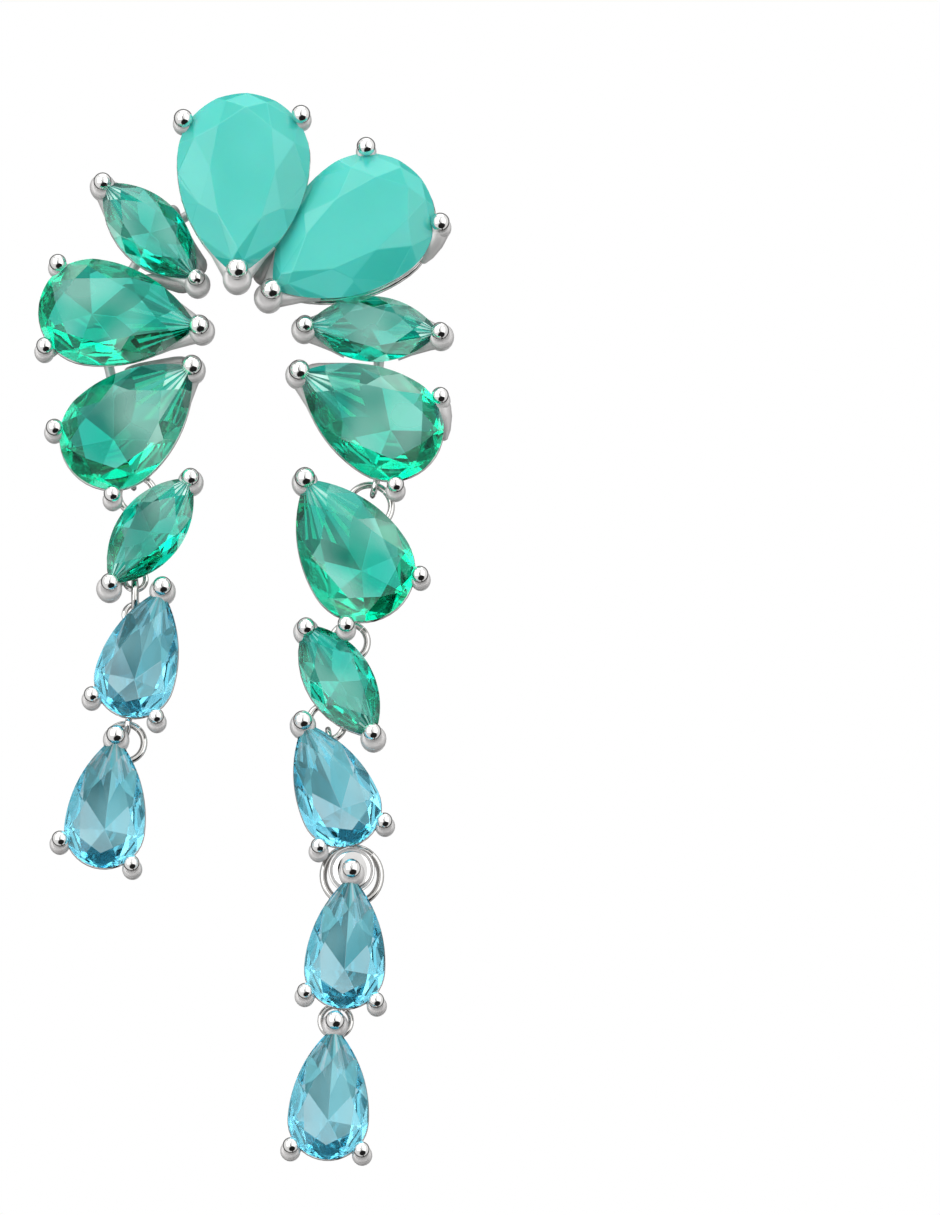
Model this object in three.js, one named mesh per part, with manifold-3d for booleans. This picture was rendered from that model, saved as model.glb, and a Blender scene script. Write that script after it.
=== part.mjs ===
// A long drop earring: a rigid arch of seven stone settings on an ear post, with two strands of linked
// settings. Units are millimetres. Each piece is laid out on the bench frame: x to the right, y up the
// earring, z out of its face, with z = 0 the back plane. The last group stands it up, so that its face looks
// along -Y and its top is +Z.
import * as THREE from "three";
import { mergeVertices } from "three/addons/utils/BufferGeometryUtils.js";
import Module from "manifold-3d";

const wasm = await Module();
wasm.setup();

const GAP = 0.3; // clearance between any two pieces
const TURN = 2 * Math.PI;
const SAME = 1e-5; // corners nearer than this are one corner
const HALVINGS = 30; // steps of a search by halving

// The rows of a table as objects, by the names of its columns.
function table(columns, rows) {
  const named = (row) => Object.fromEntries(columns.map((column, i) => [column, row[i]]));
  return Object.fromEntries(Object.entries(rows).map(([name, row]) => [name, named(row)]));
}

// Stones: a cut has a round head and one point, or two points. table and tipTable are the table's share of
// the outline across and towards the point; crown and pavilion are heights over and under the girdle.
const CUTS = table(["width", "length", "round", "table", "tipTable", "crown", "pavilion"], {
  large_pear: [10, 14, true, 0.6, 0.8, 1.5, 3.3],
  green_pear: [8, 12, true, 0.64, 0.62, 1.2, 2.7],
  blue_pear: [6, 10, true, 0.66, 0.62, 1, 2.1],
  marquise: [5, 10, false, 0.6, 0.62, 0.9, 1.8],
});
const SEAT_OUT = 0.42; // how far a seat's corners lie outside the stone, so that its sides keep the gap
const GIRDLE = 0.3; // height of the unfaceted edge of a stone
const FACETS = 8; // kite facets round a crown, one of them on the point
// Inner corners of the star facets and of the half facets: their share of the way out to the girdle from the
// table's edge or from the culet, and their share of the height.
const STAR_CORNER = { share: 0.45, lift: 0.62 };
const HALF_CORNER = { share: 0.3, lift: 0.74 };

// Prongs on a stone's point and round its head: the radius of the ball, the radius of the shoulder under it,
// and how far the shoulder's middle lies outside the ball's.
const TIP_PRONGS = table(["ball", "shoulder", "lean"], {
  large_pear: [0.85, 1.1, 0.38],
  green_pear: [0.8, 1, 0.35],
  blue_pear: [0.74, 1, 0.05],
  marquise: [0.7, 0.92, 0.15],
});
const HEAD_PRONGS = table(["ball", "shoulder", "lean"], {
  large_pear: [0.72, 0.85, 0.12],
  green_pear: [0.66, 0.8, 0.1],
  blue_pear: [0.62, 0.76, 0.08],
});
const BALL_RISE = 0.62; // height of a ball's middle over the girdle
const BALL_OUT = 0.42; // distance of a head ball's middle outside the girdle
const PRONG_FOOT = 0.42; // radius of a prong where it leaves the lower rail
// Rows of a prong over its foot: mix is the way from the shoulder's middle to the ball's; heights and radii
// are in shoulder radii from the girdle's level, and then in ball radii from the ball's middle.
const SHOULDER_ROWS = [
  { mix: 0, height: -0.5, radius: 0.9 },
  { mix: 0, height: 0, radius: 1 },
];
const BALL_ROWS = [
  { mix: 0.6, height: -0.75, radius: 0.85 },
  { mix: 1, height: -0.05, radius: 1 },
  { mix: 1, height: 0.72, radius: 0.7 },
];
// Upper rail: how far it stands out under the girdle, its width, and its depths under the girdle's middle.
const UPPER_RAIL = { out: 0.18, width: 0.6, outerTop: 0.52, innerTop: 0.92, bottom: 1.2 };
const LOWER_RAIL = { inset: 0.27, width: 0.55, height: 0.65 }; // inset is a share of the stone's width
const RAIL_STEPS = 72; // places tried along a lower rail for the end of a bar
const PROPS = { large_pear: [0.2, 0.8] }; // where the rails are propped, as shares of the outline
const PROP = 0.28; // radius of a prop
const BAR = 0.42; // radius of a solder bar
const POST = { radius: 0.4, length: 11, taper: 0.6, tip: 0.2, plate: 1.3, back: 0.5 };
const NOTCH = { depth: 0.1, at: 8.6, half: 0.35 }; // the groove round the post for the ear nut

// Each setting: its cut, the place of its stone's head centre (or middle), its turn clockwise in degrees
// from point up, the height of its girdle over the back plane, how far the ball on the point stands beyond
// the stone, and the angles of its two head prongs from the point, left and right.
const SETTING = ["cut", "x", "y", "turn", "level", "beyond", "left", "right"];
const ARCH = table(SETTING, {
  top_pear: ["large_pear", 0, 0, 183, 5, -0.5, 130, 120],
  upper_right_pear: ["large_pear", 9.42, -4.39, 233, 3.8, 0.15, 139, 125],
  left_marquise: ["marquise", -7.13, -5.13, -44, 2.6, 0.1],
  left_pear_upper: ["green_pear", -11.45, -11.5, 98, 3.9, 0.2, 133, 134],
  left_pear_lower: ["green_pear", -9.83, -20.96, 48, 3.3, 0, 130, 132],
  right_marquise: ["marquise", 9.72, -12.63, 93, 2.6, 0.1],
  right_pear: ["green_pear", 11.08, -20.3, -58, 3.5, 0.1, 127, 116],
});
const DROPS = table(SETTING, {
  short_marquise: ["marquise", -6.98, -28.07, 37, 3, 0],
  short_blue_upper: ["blue_pear", -8.16, -39.24, 17, 3, 0.2, 130, 134],
  short_blue_lower: ["blue_pear", -10.36, -50.61, 7, 3, 0.05, 112, 136],
  long_pear: ["green_pear", 8.92, -31.02, -32, 3.5, 0.05, 133, 129],
  long_marquise: ["marquise", 7.25, -39.42, -32, 3, -0.3],
  long_blue_upper: ["blue_pear", 7.41, -49.02, -24, 3, 0.1, 127, 133],
  long_blue_middle: ["blue_pear", 7.67, -61.21, 4, 3, 0.5, 125, 132],
  long_blue_lower: ["blue_pear", 6.46, -72.6, 4, 3.4, 0.4, 130, 129],
});
const SETTINGS = { ...ARCH, ...DROPS };

// Solder bars of the arch join the lower rails of these neighbours.
const NEIGHBOURS = [
  ["top_pear", "upper_right_pear"],
  ["top_pear", "left_marquise"],
  ["left_marquise", "left_pear_upper"],
  ["left_pear_upper", "left_pear_lower"],
  ["upper_right_pear", "right_marquise"],
  ["right_marquise", "right_pear"],
];

// Jump rings, in the order they hang: the setting over it and the one under it, the ring's centre, its
// radius to the middle of its wire, the wire's radius, and whether it stands edge-on to the face.
const RINGS = table(["upper", "lower", "x", "y", "radius", "wire", "edge"], {
  short_1: ["left_pear_lower", "short_marquise", -8.05, -25.1, 1.35, 0.26, false],
  short_2: ["short_marquise", "short_blue_upper", -8.15, -32.9, 1.35, 0.26, true],
  short_3: ["short_blue_upper", "short_blue_lower", -8.99, -43.94, 1.55, 0.26, false],
  long_1: ["right_pear", "long_pear", 9.5, -26, 1.65, 0.26, false],
  long_2: ["long_pear", "long_marquise", 8, -36.3, 1.35, 0.26, false],
  long_3: ["long_marquise", "long_blue_upper", 6.3, -42.4, 1.35, 0.26, false],
  long_4: ["long_blue_upper", "long_blue_middle", 8.2, -54.32, 2.15, 0.28, false],
  long_5: ["long_blue_middle", "long_blue_lower", 7, -65, 1.15, 0.22, false],
});
const RING_LEVEL = 1.35; // height of each ring's centre over the back plane
const EYE = { room: 0.32, wire: 0.22 }; // an eye's clearance round the ring's wire, and its own wire radius

// Number of faces round each form; an outline has a number for each of its arcs.
const SIDES = { seat: 12, prong: 5, bar: 5, prop: 4, post: 12, ring: 12, ringWire: 4, eye: 7, eyeWire: 3 };
const FINE = { flank: 4, head: 6, marquise: 6 };
const COARSE = { flank: 2, head: 4, marquise: 3 };

const FINISHES = {
  metal: { color: 0xd9d9d6, roughness: 0.12, metalness: 1 },
  large_pear: { color: 0x5fd6c8, roughness: 0.12, metalness: 0 },
  green_pear: { color: 0x35b894, roughness: 0.05, metalness: 0 },
  marquise: { color: 0x3fb090, roughness: 0.05, metalness: 0 },
  blue_pear: { color: 0x6cb4dc, roughness: 0.05, metalness: 0 },
};

const radians = THREE.MathUtils.degToRad;
const materials = Object.fromEntries(
  Object.entries(FINISHES).map(([name, finish]) => [name, new THREE.MeshStandardMaterial(finish)]),
);

// A closed three.js geometry as a solid that can be joined and cut.
function solidOf(geometry) {
  const bare = geometry.clone();
  bare.deleteAttribute("normal");
  bare.deleteAttribute("uv");
  const merged = mergeVertices(bare, SAME);
  const mesh = new wasm.Mesh({
    numProp: 3,
    vertProperties: new Float32Array(merged.attributes.position.array),
    triVerts: new Uint32Array(merged.index.array),
  });
  return new wasm.Manifold(mesh);
}

// A solid as a named mesh.
function meshOf(solid, name, material) {
  const made = solid.getMesh();
  const geometry = new THREE.BufferGeometry();
  geometry.setAttribute("position", new THREE.BufferAttribute(made.vertProperties, 3));
  geometry.setIndex(new THREE.BufferAttribute(made.triVerts, 1));
  const flat = geometry.toNonIndexed();
  flat.computeVertexNormals();
  const mesh = new THREE.Mesh(flat, material);
  mesh.name = name;
  return mesh;
}

const joined = (solids) => solids.reduce((whole, piece) => whole.add(piece));
const moved = (solid, matrix) => solid.transform(matrix.toArray());

// A solid from its corners and the triangles between them.
function faceted(corners, faces) {
  const geometry = new THREE.BufferGeometry();
  geometry.setAttribute("position", new THREE.Float32BufferAttribute(corners.flat(), 3));
  geometry.setIndex(faces);
  return solidOf(geometry);
}

// The triangles between two rows of corners, given as numbers, anticlockwise from outside when the first is
// lower; a row of one corner is a pole.
function strip(low, high) {
  const faces = [];
  const count = Math.max(low.length, high.length);
  const pick = (row, i) => row[i % row.length];
  for (let i = 0; i < count; i += 1) {
    if (low.length > 1) faces.push(pick(low, i), pick(low, i + 1), pick(high, i + 1));
    if (high.length > 1) faces.push(pick(low, i), pick(high, i + 1), pick(high, i));
  }
  return faces;
}

// A solid through closed rows of corners, from pole to pole, or round and round if `looped`.
function loft(rows, looped = false) {
  let next = 0;
  const numbered = rows.map((row) => row.map(() => next++));
  const faces = [];
  for (let i = 1; i < rows.length; i += 1) faces.push(...strip(numbered[i - 1], numbered[i]));
  if (looped) faces.push(...strip(numbered.at(-1), numbered[0]));
  return faceted(rows.flat(), faces);
}

// A level row of corners round a centre.
function circle(centre, radius, sides) {
  return Array.from({ length: sides }, (_, i) => {
    const angle = (TURN * i) / sides;
    return [centre.x + radius * Math.cos(angle), centre.y + radius * Math.sin(angle), centre.z];
  });
}

// The outline of a stone: two side arcs that meet in a point, and a round head or a second point.
class Outline {
  constructor(cut, offset = 0) {
    const half = cut.width / 2;
    const reach = cut.round ? cut.length - half : cut.length / 2;
    const shift = (reach * reach - half * half) / (2 * half);
    const side = shift + half + offset;
    const open = Math.acos(shift / side);
    const left = { x: shift, radius: side, from: Math.PI - open, to: Math.PI };
    const right = { x: -shift, radius: side, from: 0, to: open };
    this.round = cut.round;
    this.arcs = cut.round
      ? [left, { x: 0, radius: half + offset, from: Math.PI, to: TURN }, right]
      : [{ ...left, to: Math.PI + open }, { ...right, from: -open }];
    this.length = this.arcs.reduce((sum, arc) => sum + arc.radius * (arc.to - arc.from), 0);
  }

  // The point and the outward direction at a share of the way round, anticlockwise from the point.
  at(share) {
    let way = (share - Math.floor(share)) * this.length;
    for (const arc of this.arcs) {
      const span = arc.radius * (arc.to - arc.from);
      if (way <= span) {
        const angle = arc.from + way / arc.radius;
        const out = new THREE.Vector2(Math.cos(angle), Math.sin(angle));
        return { point: new THREE.Vector2(arc.x, 0).addScaledVector(out, arc.radius), out };
      }
      way -= span;
    }
    return this.at(0);
  }

  // The same, with the two directions at a point of the stone averaged.
  facing(share) {
    const out = this.at(share - SAME).out.add(this.at(share + SAME).out).normalize();
    return { point: this.at(share).point, out };
  }

  // The share at which the outline lies in a direction, in degrees from the point, left-hand side positive.
  shareAt(degrees) {
    let low = degrees > 0 ? 0 : 0.5;
    let high = low + 0.5;
    for (let step = 0; step < HALVINGS; step += 1) {
      const middle = (low + high) / 2;
      const { point } = this.at(middle);
      if (Math.atan2(-point.x, point.y) < radians(degrees)) low = middle;
      else high = middle;
    }
    return low;
  }

  // A row of corners along the outline at a height.
  row(height, steps = FINE) {
    return this.arcs.flatMap((arc) => {
      const count = arc.x === 0 ? steps.head : this.round ? steps.flank : steps.marquise;
      return Array.from({ length: count }, (_, i) => {
        const angle = arc.from + ((arc.to - arc.from) * i) / count;
        return [arc.x + arc.radius * Math.cos(angle), arc.radius * Math.sin(angle), height];
      });
    });
  }
}

// How far a stone's table reaches out at a place of its outline, as a share of the outline.
const tableReach = (cut, y) => (y > 0 || !cut.round ? cut.tipTable : cut.table);

// A stone round its own girdle plane: a table, star, kite and break facets over the girdle, and half and
// main facets under it.
function stoneSolid(cut) {
  const outline = new Outline(cut);
  const half = GIRDLE / 2;
  const corners = [];
  const rows = { table: [], star: [], high: [], low: [], half: [] };
  const put = (row, x, y, z) => rows[row].push(corners.push([x, y, z]) - 1);
  const crown = (row, { x, y }, share, lift) => {
    const along = tableReach(cut, y);
    const across = cut.table + (1 - cut.table) * share;
    put(row, x * across, y * (along + (1 - along) * share), half + (cut.crown - half) * lift);
  };
  for (let i = 0; i < FACETS; i += 1) {
    const { point } = outline.at(i / FACETS);
    const { point: between } = outline.at((i + 0.5) / FACETS);
    crown("table", point, 0, 1);
    crown("star", between, STAR_CORNER.share, STAR_CORNER.lift);
    for (const { x, y } of [point, between]) {
      put("high", x, y, half);
      put("low", x, y, -half);
    }
    const depth = half + (cut.pavilion - half) * HALF_CORNER.lift;
    put("half", between.x * HALF_CORNER.share, between.y * HALF_CORNER.share, -depth);
  }
  const culet = corners.push([0, 0, -cut.pavilion]) - 1;
  const at = (row, i) => rows[row][(i + rows[row].length) % rows[row].length];
  const faces = strip(rows.low, rows.high);
  for (let i = 0; i < FACETS; i += 1) {
    const [near, middle, far] = [2 * i, 2 * i + 1, 2 * i + 2];
    if (i > 1) faces.push(at("table", 0), at("table", i - 1), at("table", i));
    faces.push(at("table", i), at("star", i), at("table", i + 1));
    faces.push(at("table", i), at("high", near), at("star", i));
    faces.push(at("table", i), at("star", i - 1), at("high", near));
    faces.push(at("star", i), at("high", near), at("high", middle));
    faces.push(at("star", i), at("high", middle), at("high", far));
    faces.push(at("half", i), at("low", middle), at("low", near));
    faces.push(at("half", i), at("low", far), at("low", middle));
    faces.push(culet, at("half", i), at("low", near));
    faces.push(culet, at("low", near), at("half", i - 1));
  }
  return faceted(corners, faces);
}

// The room that a stone and its clearance take up, which is cut from the metal round it.
function seatSolid(cut) {
  const outer = new Outline(cut, SEAT_OUT);
  const half = (GIRDLE + GAP) / 2;
  const edge = Array.from({ length: SIDES.seat }, (_, i) => outer.at(i / SIDES.seat).point);
  const top = cut.crown + GAP;
  return loft([
    [[0, 0, -cut.pavilion - GAP]],
    edge.map(({ x, y }) => [x, y, -half]),
    edge.map(({ x, y }) => [x, y, half]),
    edge.map(({ x, y }) => [x * cut.table, y * tableReach(cut, y), top]),
    [[0, 0, top]],
  ]);
}

// A closed band that follows an outline: its section is a list of offsets and heights, anticlockwise.
function band(cut, section, steps) {
  const rows = section.map(({ offset, height }) => new Outline(cut, offset).row(height, steps));
  return loft(rows, true);
}

// A geometry that stands along +Y from the origin, moved to run from one point towards another.
function aimed(geometry, from, to) {
  const way = to.clone().sub(from).normalize();
  const turn = new THREE.Quaternion().setFromUnitVectors(new THREE.Vector3(0, 1, 0), way);
  return solidOf(geometry.applyQuaternion(turn).translate(from.x, from.y, from.z));
}

// A straight round bar between two points.
function bar(from, to, radius, sides = SIDES.bar) {
  const length = from.distanceTo(to);
  const geometry = new THREE.CylinderGeometry(radius, radius, length, sides).translate(0, length / 2, 0);
  return aimed(geometry, from, to);
}

// A prong: it widens from its foot to its shoulder, and carries a ball that leans in over the stone.
function prong(foot, shoulder, ball, size) {
  const rowsOf = (table, level, radius) =>
    table.map((row) => {
      const centre = shoulder.clone().lerp(ball, row.mix).setZ(level + row.height * radius);
      return circle(centre, row.radius * radius, SIDES.prong);
    });
  return loft([
    [foot.toArray()],
    circle(foot, PRONG_FOOT, SIDES.prong),
    ...rowsOf(SHOULDER_ROWS, shoulder.z, size.shoulder),
    ...rowsOf(BALL_ROWS, ball.z, size.ball),
    [[ball.x, ball.y, ball.z + size.ball]],
  ]);
}

// A setting's frame on the bench: its place and its turn.
function frameOf({ x, y, turn }, height = 0) {
  return new THREE.Matrix4().makeRotationZ(-radians(turn)).setPosition(x, y, height);
}

// The places of a setting's prongs: the share of the outline, and the size and reach of the ball there.
function prongPlaces(setting, outline) {
  const tip = { share: 0, size: TIP_PRONGS[setting.cut], out: setting.beyond };
  if (!outline.round) return [tip, { ...tip, share: 0.5 }];
  const size = HEAD_PRONGS[setting.cut];
  const claw = (degrees) => ({ share: outline.shareAt(degrees), size, out: BALL_OUT });
  return [tip, claw(setting.left), claw(-setting.right)];
}

const lowerOutline = (cut) => new Outline(cut, -LOWER_RAIL.inset * cut.width);

// The metal that holds one stone, in the setting's own frame.
function basket(setting) {
  const cut = CUTS[setting.cut];
  const outline = new Outline(cut);
  const lower = lowerOutline(cut);
  const { level } = setting;
  const { out: outer, width, outerTop, innerTop, bottom } = UPPER_RAIL;
  const inset = -LOWER_RAIL.inset * cut.width;
  const half = LOWER_RAIL.width / 2;
  const upperSection = [
    { offset: outer, height: level - bottom },
    { offset: outer, height: level - outerTop },
    { offset: outer - width, height: level - innerTop },
  ];
  const lowerSection = [
    { offset: inset + half, height: 0 },
    { offset: inset + half, height: LOWER_RAIL.height },
    { offset: inset - half, height: LOWER_RAIL.height },
    { offset: inset - half, height: 0 },
  ];
  const pieces = [band(cut, upperSection, FINE), band(cut, lowerSection, COARSE)];
  const raised = ({ x, y }, height) => new THREE.Vector3(x, y, height);
  for (const { share, size, out } of prongPlaces(setting, outline)) {
    const edge = outline.facing(share);
    const foot = raised(lower.facing(share).point, LOWER_RAIL.height / 2);
    const ball = raised(edge.point.clone().addScaledVector(edge.out, out), level + BALL_RISE);
    const shoulder = raised(edge.point.clone().addScaledVector(edge.out, out + size.lean), level);
    pieces.push(prong(foot, shoulder, ball, size));
  }
  for (const share of PROPS[setting.cut] ?? []) {
    const { point, out } = outline.at(share);
    const from = raised(lower.at(share).point, LOWER_RAIL.height / 2);
    const under = level - (innerTop + bottom) / 2;
    const to = raised(point.clone().addScaledVector(out, outer - width / 2), under);
    pieces.push(bar(from, to, PROP, SIDES.prop));
  }
  return joined(pieces);
}

// The point of a setting's lower rail that lies nearest to a bench point.
function railPoint(setting, target) {
  const lower = lowerOutline(CUTS[setting.cut]);
  const frame = frameOf(setting, LOWER_RAIL.height / 2);
  let best = null;
  for (let i = 0; i < RAIL_STEPS; i += 1) {
    const { point } = lower.at(i / RAIL_STEPS);
    const place = new THREE.Vector3(point.x, point.y, 0).applyMatrix4(frame);
    const distance = Math.hypot(place.x - target.x, place.y - target.y);
    if (!best || distance < best.distance) best = { place, distance };
  }
  return best.place;
}

// A jump ring on the bench, its wire thickened by `grow`.
function ringSolid({ x, y, radius, wire, edge }, grow = 0) {
  const geometry = new THREE.TorusGeometry(radius, wire + grow, SIDES.ringWire, SIDES.ring);
  if (edge) geometry.rotateY(Math.PI / 2);
  return solidOf(geometry.translate(x, y, RING_LEVEL));
}

// The eye by which a setting hangs on a ring: a closed loop round the ring's wire, and its stem to the lower
// rail.
function eyeSolid(ring, setting) {
  const centre = new THREE.Vector3(ring.x, ring.y, RING_LEVEL);
  const way = new THREE.Vector3(setting.x, setting.y, RING_LEVEL).sub(centre).normalize();
  if (ring.edge) way.set(0, Math.sign(way.y), 0);
  const hold = centre.clone().addScaledVector(way, ring.radius);
  const radius = ring.wire + EYE.room + EYE.wire;
  const loop = new THREE.TorusGeometry(radius, EYE.wire, SIDES.eyeWire, SIDES.eye);
  if (!ring.edge) loop.rotateX(Math.PI / 2);
  loop.rotateZ(Math.atan2(way.y, way.x));
  const eye = solidOf(loop.translate(hold.x, hold.y, hold.z));
  const outer = hold.clone().addScaledVector(way, radius);
  return eye.add(bar(outer, railPoint(setting, outer), EYE.wire, SIDES.prop));
}

const seats = Object.fromEntries(Object.entries(CUTS).map(([name, cut]) => [name, seatSolid(cut)]));

// Metal on the bench, cut free of the rings that pass through it, given its eyes, and cut free of the
// stones.
function finished(metal, names) {
  let made = metal;
  const held = names.flatMap((name) => {
    const rings = Object.values(RINGS).filter(({ upper, lower }) => upper === name || lower === name);
    return rings.map((ring) => ({ ring, setting: SETTINGS[name] }));
  });
  for (const { ring } of held) made = made.subtract(ringSolid(ring, GAP));
  for (const { ring, setting } of held) made = made.add(eyeSolid(ring, setting));
  for (const setting of Object.values(SETTINGS)) {
    made = made.subtract(moved(seats[setting.cut], frameOf(setting, setting.level)));
  }
  return made;
}

// The ear post, with a plate that crosses the top setting's lower rail.
function postSolid() {
  const { radius, length, taper, tip, plate, back } = POST;
  const profile = [
    [0, -length],
    [tip, -length],
    [radius, -length + taper],
    [radius, -NOTCH.at - NOTCH.half],
    [radius - NOTCH.depth, -NOTCH.at],
    [radius, -NOTCH.at + NOTCH.half],
    [radius, 0],
    [plate, 0],
    [plate, back],
    [0, back],
  ].map(([x, y]) => new THREE.Vector2(x, y));
  return solidOf(new THREE.LatheGeometry(profile, SIDES.post).rotateX(Math.PI / 2));
}

// The seven settings of the arch, soldered to each other and to the post.
function archSolid() {
  const pieces = Object.values(ARCH).map((setting) => moved(basket(setting), frameOf(setting)));
  for (const [a, b] of NEIGHBOURS.map((pair) => pair.map((name) => ARCH[name]))) {
    const middle = new THREE.Vector3((a.x + b.x) / 2, (a.y + b.y) / 2, 0);
    pieces.push(bar(railPoint(a, middle), railPoint(b, middle), BAR));
  }
  const reach = CUTS.large_pear.width * (1 / 2 - LOWER_RAIL.inset);
  const ends = [-reach, reach].map((x) => new THREE.Vector3(x, 0, LOWER_RAIL.height / 2));
  pieces.push(bar(...ends, BAR), postSolid());
  return finished(joined(pieces), Object.keys(ARCH));
}

const earring = new THREE.Group();
earring.rotation.x = Math.PI / 2;

earring.add(meshOf(archSolid(), "arch_frame", materials.metal));
for (const [name, setting] of Object.entries(DROPS)) {
  const metal = finished(moved(basket(setting), frameOf(setting)), [name]);
  earring.add(meshOf(metal, `setting_${name}`, materials.metal));
}
for (const [name, setting] of Object.entries(SETTINGS)) {
  const stone = meshOf(stoneSolid(CUTS[setting.cut]), `stone_${name}`, materials[setting.cut]);
  stone.position.set(setting.x, setting.y, setting.level);
  stone.rotation.z = -radians(setting.turn);
  earring.add(stone);
}
for (const [name, ring] of Object.entries(RINGS)) {
  earring.add(meshOf(ringSolid(ring), `jump_ring_${name}`, materials.metal));
}

export default earring;
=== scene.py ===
"""The looks of a long drop earring: an arch of seven set stones on an ear post, and two strands of linked
settings.

Every piece is modelled on the bench, in millimetres: x to the right, y up the earring, z out of its face,
with z = 0 the back plane. It is then stood up into the frame of the solids, in metres, where the face looks
along -Y.
"""

from __future__ import annotations

import logging
import math
import random
from contextlib import contextmanager
from dataclasses import dataclass, field
from enum import Enum
from itertools import combinations
from typing import Iterator, Sequence

import bpy
from mathutils import Matrix, Vector


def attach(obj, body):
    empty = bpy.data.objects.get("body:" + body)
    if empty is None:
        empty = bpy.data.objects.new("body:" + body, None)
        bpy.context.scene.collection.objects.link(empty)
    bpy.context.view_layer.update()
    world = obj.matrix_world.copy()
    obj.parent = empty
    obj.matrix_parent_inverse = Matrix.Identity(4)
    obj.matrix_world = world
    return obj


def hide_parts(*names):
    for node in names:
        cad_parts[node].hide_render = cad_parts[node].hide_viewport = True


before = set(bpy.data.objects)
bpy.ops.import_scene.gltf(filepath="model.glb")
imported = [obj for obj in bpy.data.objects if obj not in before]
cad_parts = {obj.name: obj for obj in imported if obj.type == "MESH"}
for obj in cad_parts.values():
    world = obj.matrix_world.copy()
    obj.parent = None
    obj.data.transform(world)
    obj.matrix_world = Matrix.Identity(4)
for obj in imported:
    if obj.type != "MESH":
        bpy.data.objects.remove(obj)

LOG = logging.getLogger("drop_earring")
MILLIMETRE = 0.001
BODY = "root"
UP = Vector((0, 0, 1))
TOLERANCE = 0.0005
WIRE_SIDES = 12
RING_STEPS = 40
LOBE_SIDES = 20
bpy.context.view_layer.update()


# ------------------------------------------------------------------------------------------------------------
# Moves of the hand: the few ways in which every piece is shaped
# ------------------------------------------------------------------------------------------------------------


def deselect() -> None:
    """Leave nothing selected, so that the next operator acts on its own piece alone."""
    bpy.ops.object.select_all(action="DESELECT")


def pick(*objects: bpy.types.Object) -> None:
    """Select some objects alone.

    Args:
        objects: the objects, the first of which becomes active.
    """
    deselect()
    for item in objects:
        item.select_set(True)
    bpy.context.view_layer.objects.active = objects[0]


def settle() -> None:
    """Apply the place, turn and size of the selected piece to its mesh."""
    bpy.ops.object.transform_apply(location=True, rotation=True, scale=True)


@contextmanager
def shaping(piece: bpy.types.Object) -> Iterator[None]:
    """Open a piece in edit mode with all of it selected, and close it again.

    Args:
        piece: the mesh object to be shaped.

    Returns:
        Nothing; the piece is open inside the block.
    """
    pick(piece)
    bpy.ops.object.mode_set(mode="EDIT")
    bpy.ops.mesh.select_mode(type="VERT")
    take_all()
    yield
    bpy.ops.object.mode_set(mode="OBJECT")


def take_all() -> None:
    """Select all of the mesh that is open."""
    bpy.ops.mesh.select_all(action="SELECT")


def extrude(way: Vector) -> None:
    """Extrude what is selected of the open mesh along a way."""
    bpy.ops.mesh.extrude_region_move(TRANSFORM_OT_translate={"value": way})


def face_out() -> None:
    """Turn every face of the open mesh outwards."""
    take_all()
    bpy.ops.mesh.normals_make_consistent(inside=False)


def stand_up(piece: bpy.types.Object, name: str) -> None:
    """Turn a finished piece from the bench into the frame of the solids, in metres, with its origin at zero.

    Args:
        piece: the mesh object, shaped in millimetres on the bench.
        name: the name that the piece keeps.
    """
    pick(piece)
    turn, size = Matrix.Rotation(math.pi / 2, 4, "X"), Matrix.Scale(MILLIMETRE, 4)
    piece.matrix_world = turn @ size @ piece.matrix_world
    settle()
    piece.name = name
    piece.data.name = name


def join(pieces: Sequence[bpy.types.Object]) -> bpy.types.Object:
    """Join several mesh objects.

    Args:
        pieces: the objects.

    Returns:
        The first of them, which has taken up the others.
    """
    pick(*pieces)
    bpy.ops.object.join()
    return pieces[0]


def copy_of(piece: bpy.types.Object) -> bpy.types.Object:
    """Copy a piece.

    Args:
        piece: the piece.

    Returns:
        The copy, which has a mesh of its own.
    """
    twin = piece.copy()
    twin.data = piece.data.copy()
    bpy.context.scene.collection.objects.link(twin)
    return twin


def smooth(piece: bpy.types.Object, crease: float = 40) -> None:
    """Shade a piece smooth, except over edges sharper than an angle in degrees."""
    pick(piece)
    bpy.ops.object.shade_smooth_by_angle(angle=math.radians(crease))


def disc(
    sides: int, radius: float, centre: Sequence[float], turn: Sequence[float] = (0, 0, 0)
) -> bpy.types.Object:
    """Add a disc, from which a form is drawn or spun.

    Args:
        sides: number of its corners.
        radius: its radius.
        centre: its middle.
        turn: the way that it is turned, from lying flat.

    Returns:
        The new piece.
    """
    bpy.ops.mesh.primitive_circle_add(
        vertices=sides, radius=radius, fill_type="NGON", location=centre, rotation=turn
    )
    settle()
    return bpy.context.object


# ------------------------------------------------------------------------------------------------------------
# Sizes of the earring
# ------------------------------------------------------------------------------------------------------------


class Glass(Enum):
    """The kinds of glass that the stones are cut from."""

    MINT = "mint_stone"
    GREEN = "green_stone"
    BLUE = "blue_stone"


@dataclass(frozen=True)
class Cut:
    """A cut of stone: a pear with a round head and one point, or a marquise with two points.

    table, tip_table and head_table are the table's share of the outline across, towards the point and towards
    the head; crown and pavilion are heights over and under the girdle's middle.
    """

    width: float
    length: float
    round_head: bool
    table: float
    tip_table: float
    head_table: float
    crown: float
    pavilion: float

    @property
    def reach(self) -> float:
        """How far the point lies from the middle of the head, or from the middle of a marquise."""
        return self.length - self.width / 2 if self.round_head else self.length / 2

    @property
    def points(self) -> tuple:
        """Where its points lie, as shares of the way round."""
        return (0,) if self.round_head else (0, 0.5)


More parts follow.
